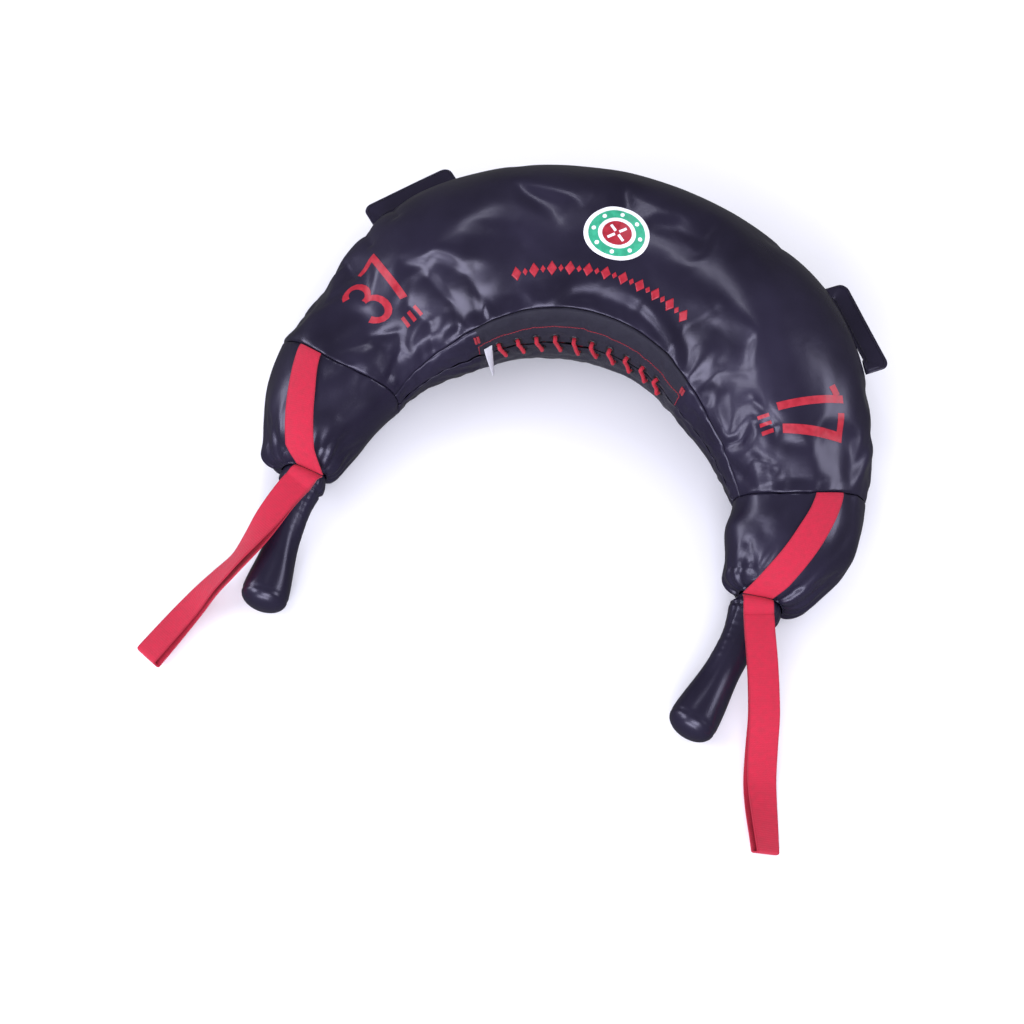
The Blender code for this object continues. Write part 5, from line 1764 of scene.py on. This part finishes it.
def make_label_piece():
    """A small blank care label, sewn by its top edge and curling away from the bag."""
    look = bpy.context.scene.sandbag_label
    run = float(run_at_turn(LABEL_TURN))
    angle = float(upper_seam(run)) + LABEL_SEAM_STEP
    normal = skin_normal(run, angle)
    pivot = skin_raw(run, angle) + normal * (LABEL_GAP + LABEL_THICKNESS)
    across = -forward_at(run) * math.copysign(1.0, run)
    across = unit(across - normal * (across @ normal))
    down = np.cross(across, normal)
    down = down if down[2] < 0 else -down
    lean = math.radians(LABEL_LEAN)
    down = unit(down * math.cos(lean) + normal * math.sin(lean))
    away = np.cross(across, down)
    away = away if away @ normal > 0 else -away
    rows = []
    for share in steps(0.0, 1.0, 26):
        row = []
        for place in steps(-0.5, 0.5, 10):
            curl = 0.0034 * share**2 - 0.0010 * math.sin(math.pi * share)
            turn = math.radians(20.0 + 42.0 * share)
            reach = place * look.label_width * (1.0 - 0.35 * share**2)
            bow = 0.0016 * share * (1 - (2 * place) ** 2) + 0.5 * look.label_width * math.sin(turn)
            row.append(pivot + across * (reach * math.cos(turn)) + down * (share * look.label_length)
                       + away * (curl + bow + reach * math.sin(turn)))
        rows.append(row)
    rows = np.array(rows)
    white = woven("White label tape", (0.40, 0.40, 0.44), (0.58, 0.58, 0.62), 1400.0, 1400.0, 0.00015)
    label = cloth_piece("blank_label", rows, measured_uv(rows), LABEL_THICKNESS, white)
    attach(label, "label")
    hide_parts("care_label")


# ---------------------------------------------------------------- stage

def make_floor_and_sky():
    """A pale floor, and an even light that reflections show dimmed."""
    look = bpy.context.scene.sandbag_stage
    mesh = bpy.data.meshes.new("studio_floor")
    mesh.from_pydata([(x * FLOOR_HALF, y * FLOOR_HALF, 0.0) for x, y in ((-1, -1), (1, -1), (1, 1), (-1, 1))],
                     [], [(0, 1, 2, 3)])
    floor = linked("studio_floor", mesh)
    material, tree, shader = new_material("Pale floor")
    place = add_node(tree, "ShaderNodeTexCoord").outputs["Object"]
    noise = add_node(tree, "ShaderNodeTexNoise", Vector=place, Scale=3.0, Detail=2.0).outputs[0]
    tone = tuple(look.floor_colour)
    feed(tree, shader, Base_Color=colours(tree, noise, shaded(tone, 0.985), tone), Roughness=0.9)
    mesh.materials.append(material)
    floor.visible_glossy = False
    world = bpy.data.worlds.new("Studio")
    bpy.context.scene.world = world
    world.use_nodes = True
    sky = world.node_tree
    glossy = add_node(sky, "ShaderNodeLightPath").outputs["Is Glossy Ray"]
    dimmed = ranged(sky, glossy, 0.0, 1.0, look.ambient, look.reflected_ambient)
    feed(sky, sky.nodes["Background"], Color=(0.93, 0.93, 1.0, 1.0), Strength=dimmed)


def camera_target():
    look = bpy.context.scene.sandbag_stage
    return Vector((look.aim_x, look.aim_y, AIM_HEIGHT))


def make_lights():
    """Softboxes round the bag, and two small lights overhead."""
    look = bpy.context.scene.sandbag_stage
    lights = (
        ("front_softbox", (0.25, -2.2, 1.75), (1.5, 0.9), look.key_power),
        ("low_front_softbox", (-0.35, -2.35, 0.72), (1.5, 0.50), look.key_power * 0.60),
        ("left_softbox", (-1.9, -1.15, 1.35), (1.1, 0.8), look.key_power * 0.6),
        ("right_softbox", (1.9, 0.1, 1.3), (1.0, 0.8), look.key_power * 0.4),
        ("low_left_softbox", (-2.4, -0.2, 0.75), (0.9, 0.7), look.key_power * 0.35),
        ("window_left", (-0.33, 0.55, 1.90), (0.16, 0.10), look.window_power),
        ("window_right", (-0.40, 0.95, 2.05), (0.14, 0.10), look.window_power),
    )
    for name, place, size, power in lights:
        data = bpy.data.lights.new(name, "AREA")
        data.shape = "RECTANGLE"
        data.size, data.size_y = size
        data.energy = power
        data.color = LIGHT_COLOUR
        lamp = linked(name, data)
        lamp.location = place
        lamp.rotation_euler = (camera_target() - Vector(place)).to_track_quat("-Z", "Y").to_euler()


def make_camera():
    """The camera, at the photograph's angle."""
    look = bpy.context.scene.sandbag_stage
    data = bpy.data.cameras.new("photo_camera")
    data.lens = look.lens
    data.sensor_width = 36.0
    camera = linked("photo_camera", data)
    e, a = math.radians(look.elevation), math.radians(look.azimuth)
    back = Vector((math.sin(a) * math.cos(e), -math.cos(a) * math.cos(e), math.sin(e)))
    camera.location = camera_target() + back * look.distance
    camera.rotation_euler = (-back).to_track_quat("-Z", "Y").to_euler()
    bpy.context.scene.camera = camera
    bpy.context.scene.view_settings.view_transform = "Standard"


# ---------------------------------------------------------------- settings, operators and panel

def number_value(name, description, default, low, high, unit="NONE"):
    return FloatProperty(name=name, description=description, default=default, min=low, max=high, unit=unit)


def length_value(*facts):
    return number_value(*facts, unit="LENGTH")


def power_value(*facts):
    return number_value(*facts, unit="POWER")


def colour_value(name, description, default):
    return FloatVectorProperty(name=name, description=description, subtype="COLOR", size=3, default=default,
                               min=0, max=1)


class SANDBAG_PG_cover(bpy.types.PropertyGroup):
    """Sizes and colours of the bag's cloth."""

    cell: length_value("Cloth cell", "Spacing of the cloth's mesh", 0.0028, 0.002, 0.01)
    seam_roll: length_value("Seam roll", "Radius of the turned edges at each seam", 0.0030, 0.001, 0.006)
    pucker_depth: length_value("Pucker depth", "Depth of the puckers along the seams", 0.0009, 0.0, 0.004)
    fold_depth: length_value("Fold depth", "Depth of the folds on the inside of the bend", 0.0012, 0.0, 0.006)
    lump_depth: length_value("Lump depth", "Unevenness of the filling under the cloth", 0.0014, 0.0, 0.006)
    gather_depth: length_value("Gather depth", "Depth of the gathers at each neck", 0.0020, 0.0, 0.006)
    pressure: number_value("Pressure", "Pressure of the filling on the cloth", 4.0, 0.0, 20.0)
    cloth_ease: number_value("Cloth ease", "Share by which the cloth is cut larger", 0.03, 0.0, 0.2)
    cloth_stiffness: number_value("Cloth stiffness", "Resistance of the cloth to stretch", 30.0, 1.0, 200.0)
    cloth_bending: number_value("Cloth bending", "Resistance of the cloth to folds", 4.0, 0.0, 50.0)
    cloth_travel: length_value("Cloth travel", "How far a point of the cloth may move", 0.008, 0.0, 0.02)
    bulge_removed: number_value("Bulge removed", "Share of the broad swelling left out", 0.85, 0.0, 1.0)
    cloth_colour: colour_value("Cloth", "Colour of the glossy coated cloth", (0.0120, 0.0095, 0.0230))
    band_colour: colour_value("Band", "Colour of the matt inner bands", (0.014, 0.0125, 0.024))


class SANDBAG_PG_lace(bpy.types.PropertyGroup):
    """Sizes and colours of lace and thread."""

    lace_diameter: length_value("Lace diameter", "Thickness of the round lace", 0.0046, 0.003, 0.006)
    lace_colour: colour_value("Lace", "Colour of the lace", (0.42, 0.012, 0.030))
    thread_colour: colour_value("Thread", "Colour of the red sewing thread", (0.30, 0.012, 0.025))


class SANDBAG_PG_webbing(bpy.types.PropertyGroup):
    """Sizes and colour of the webbing."""

    webbing_width: length_value("Webbing width", "Width of the webbing", 0.032, 0.02, 0.04)
    webbing_thickness: length_value("Webbing thickness", "Thickness of one layer", 0.0018, 0.001, 0.003)
    loop_roll: number_value("Loop roll", "How far the falling loop leans over, in degrees", 46.0, 0.0, 60.0)
    webbing_colour: colour_value("Webbing", "Colour of the webbing", (0.45, 0.014, 0.040))


class SANDBAG_PG_print(bpy.types.PropertyGroup):
    """Sizes and colour of the printed marks."""

    print_colour: colour_value("Print", "Colour of the red print", (0.36, 0.010, 0.025))
    digit_height: length_value("Figure height", "Height of the weight figures", 0.064, 0.03, 0.09)
    digit_stroke: length_value("Figure stroke", "Stroke width of the weight figures", 0.0078, 0.004, 0.015)
    motif_count: IntProperty(name="Lozenges", description="Number of lozenges in the row", default=21,
                             min=3, max=41)
    motif_pitch: length_value("Lozenge pitch", "Distance from one lozenge to the next", 0.0098, 0.005, 0.03)


class SANDBAG_PG_label(bpy.types.PropertyGroup):
    """Size of the blank label."""

    label_width: length_value("Label width", "Width of the blank label", 0.011, 0.006, 0.03)
    label_length: length_value("Label length", "Length of the blank label", 0.036, 0.01, 0.06)


class SANDBAG_PG_stage(bpy.types.PropertyGroup):
    """Floor, light and camera."""

    floor_colour: colour_value("Floor", "Colour of the floor", (0.90, 0.90, 0.91))
    ambient: number_value("Ambient light", "Strength of the even studio light", 1.0, 0.0, 3.0)
    reflected_ambient: number_value("Reflected light", "Strength of it in reflections", 0.12, 0.0, 3.0)
    key_power: power_value("Softbox power", "Power of the front softboxes", 33.0, 0.0, 200.0)
    window_power: power_value("Window power", "Power of the two small lights overhead", 1.5, 0.0, 50.0)
    lens: number_value("Lens", "Focal length in millimetres", 60.0, 20.0, 200.0)
    distance: length_value("Distance", "Distance of the camera from its aim", 1.88, 0.5, 5.0)
    elevation: number_value("Elevation", "Angle of the camera over the floor, in degrees", 66.36, 0.0, 90.0)
    azimuth: number_value("Azimuth", "Angle of the camera round the bag, in degrees", 13.53, -180.0, 180.0)
    aim_x: FloatProperty(name="Aim X", description="Where the camera looks", default=-0.0343, unit="LENGTH")
    aim_y: FloatProperty(name="Aim Y", description="Where the camera looks", default=-0.3029, unit="LENGTH")


class SANDBAG_OT_cover(bpy.types.Operator):
    """Makes the glossy top and bottom cover"""

    bl_idname = "sandbag.cover"
    bl_label = "Cover panels"

    def execute(self, context):
        settle_cover()
        make_cover_panels()
        return {"FINISHED"}


class SANDBAG_OT_bands(bpy.types.Operator):
    """Makes the matt inner bands with their top-stitch and bar tacks"""

    bl_idname = "sandbag.bands"
    bl_label = "Inner bands"

    def execute(self, context):
        make_bands()
        make_flap()
        make_band_stitches()
        return {"FINISHED"}


class SANDBAG_OT_lacing(bpy.types.Operator):
    """Makes the red lace and its eyelets"""

    bl_idname = "sandbag.lacing"
    bl_label = "Lacing"

    def execute(self, context):
        make_lace_pieces()
        return {"FINISHED"}


class SANDBAG_OT_prints(bpy.types.Operator):
    """Makes the printed figures, the lozenge row and the round patch"""

    bl_idname = "sandbag.prints"
    bl_label = "Printed marks"

    def execute(self, context):
        red = print_ink("Red print ink", context.scene.sandbag_print.print_colour)
        make_figures(red)
        make_lozenge_row(red)
        make_patch(red)
        return {"FINISHED"}


class SANDBAG_OT_cuffs(bpy.types.Operator):
    """Makes the gathered cuffs at both arm ends"""

    bl_idname = "sandbag.cuffs"
    bl_label = "Cuffs"

    def execute(self, context):
        for word, side in SIDES:
            make_cuff_piece(word, side)
        return {"FINISHED"}


class SANDBAG_OT_grips(bpy.types.Operator):
    """Makes the necks and grips"""

    bl_idname = "sandbag.grips"
    bl_label = "Grips"

    def execute(self, context):
        for word, side in SIDES:
            make_grip_piece(word, side)
        return {"FINISHED"}


class SANDBAG_OT_webbing(bpy.types.Operator):
    """Makes the red webbing: anchors, folds and loops"""

    bl_idname = "sandbag.webbing"
    bl_label = "Webbing"

    def execute(self, context):
        for word, side in SIDES:
            make_anchor_piece(word, side)
            make_fold_piece(word, side)
            make_loop_piece(word, side)
        return {"FINISHED"}


class SANDBAG_OT_carry(bpy.types.Operator):
    """Makes the carry loops on the outer seam and the blank label"""

    bl_idname = "sandbag.carry"
    bl_label = "Carry loops and label"

    def execute(self, context):
        for word, side in SIDES:
            make_carry_piece(word, side)
        make_label_piece()
        return {"FINISHED"}


class SANDBAG_OT_stage(bpy.types.Operator):
    """Makes the floor, the lights and the camera"""

    bl_idname = "sandbag.stage"
    bl_label = "Stage"

    def execute(self, context):
        make_floor_and_sky()
        make_lights()
        make_camera()
        return {"FINISHED"}


OPERATORS = (
    SANDBAG_OT_cover, SANDBAG_OT_bands, SANDBAG_OT_lacing, SANDBAG_OT_prints, SANDBAG_OT_cuffs,
    SANDBAG_OT_grips, SANDBAG_OT_webbing, SANDBAG_OT_carry, SANDBAG_OT_stage,
)
SETTINGS = (
    ("sandbag_cover", SANDBAG_PG_cover), ("sandbag_lace", SANDBAG_PG_lace),
    ("sandbag_webbing", SANDBAG_PG_webbing), ("sandbag_print", SANDBAG_PG_print),
    ("sandbag_label", SANDBAG_PG_label), ("sandbag_stage", SANDBAG_PG_stage),
)


class SANDBAG_PT_panel(bpy.types.Panel):
    """Lists the settings and the steps"""

    bl_idname = "SANDBAG_PT_panel"
    bl_label = "Crescent sandbag trainer"
    bl_space_type = "VIEW_3D"
    bl_region_type = "UI"
    bl_category = "Sandbag"

    def draw(self, context):
        for name, group in SETTINGS:
            box = self.layout.box()
            for key in group.__annotations__:
                box.prop(getattr(context.scene, name), key)
        for operator in OPERATORS:
            self.layout.operator(operator.bl_idname)


def register():
    for name, group in SETTINGS:
        bpy.utils.register_class(group)
        setattr(bpy.types.Scene, name, PointerProperty(type=group))
    for kind in (*OPERATORS, SANDBAG_PT_panel):
        bpy.utils.register_class(kind)


def unregister():
    for kind in (SANDBAG_PT_panel, *OPERATORS[::-1]):
        bpy.utils.unregister_class(kind)
    for name, group in SETTINGS[::-1]:
        delattr(bpy.types.Scene, name)
        bpy.utils.unregister_class(group)


def main():
    register()
    steps_in_order = (
        bpy.ops.sandbag.stage, bpy.ops.sandbag.cover, bpy.ops.sandbag.bands, bpy.ops.sandbag.lacing,
        bpy.ops.sandbag.prints, bpy.ops.sandbag.cuffs, bpy.ops.sandbag.grips, bpy.ops.sandbag.webbing,
        bpy.ops.sandbag.carry,
    )
    for step in steps_in_order:
        step()


if __name__ == "__main__":
    main()
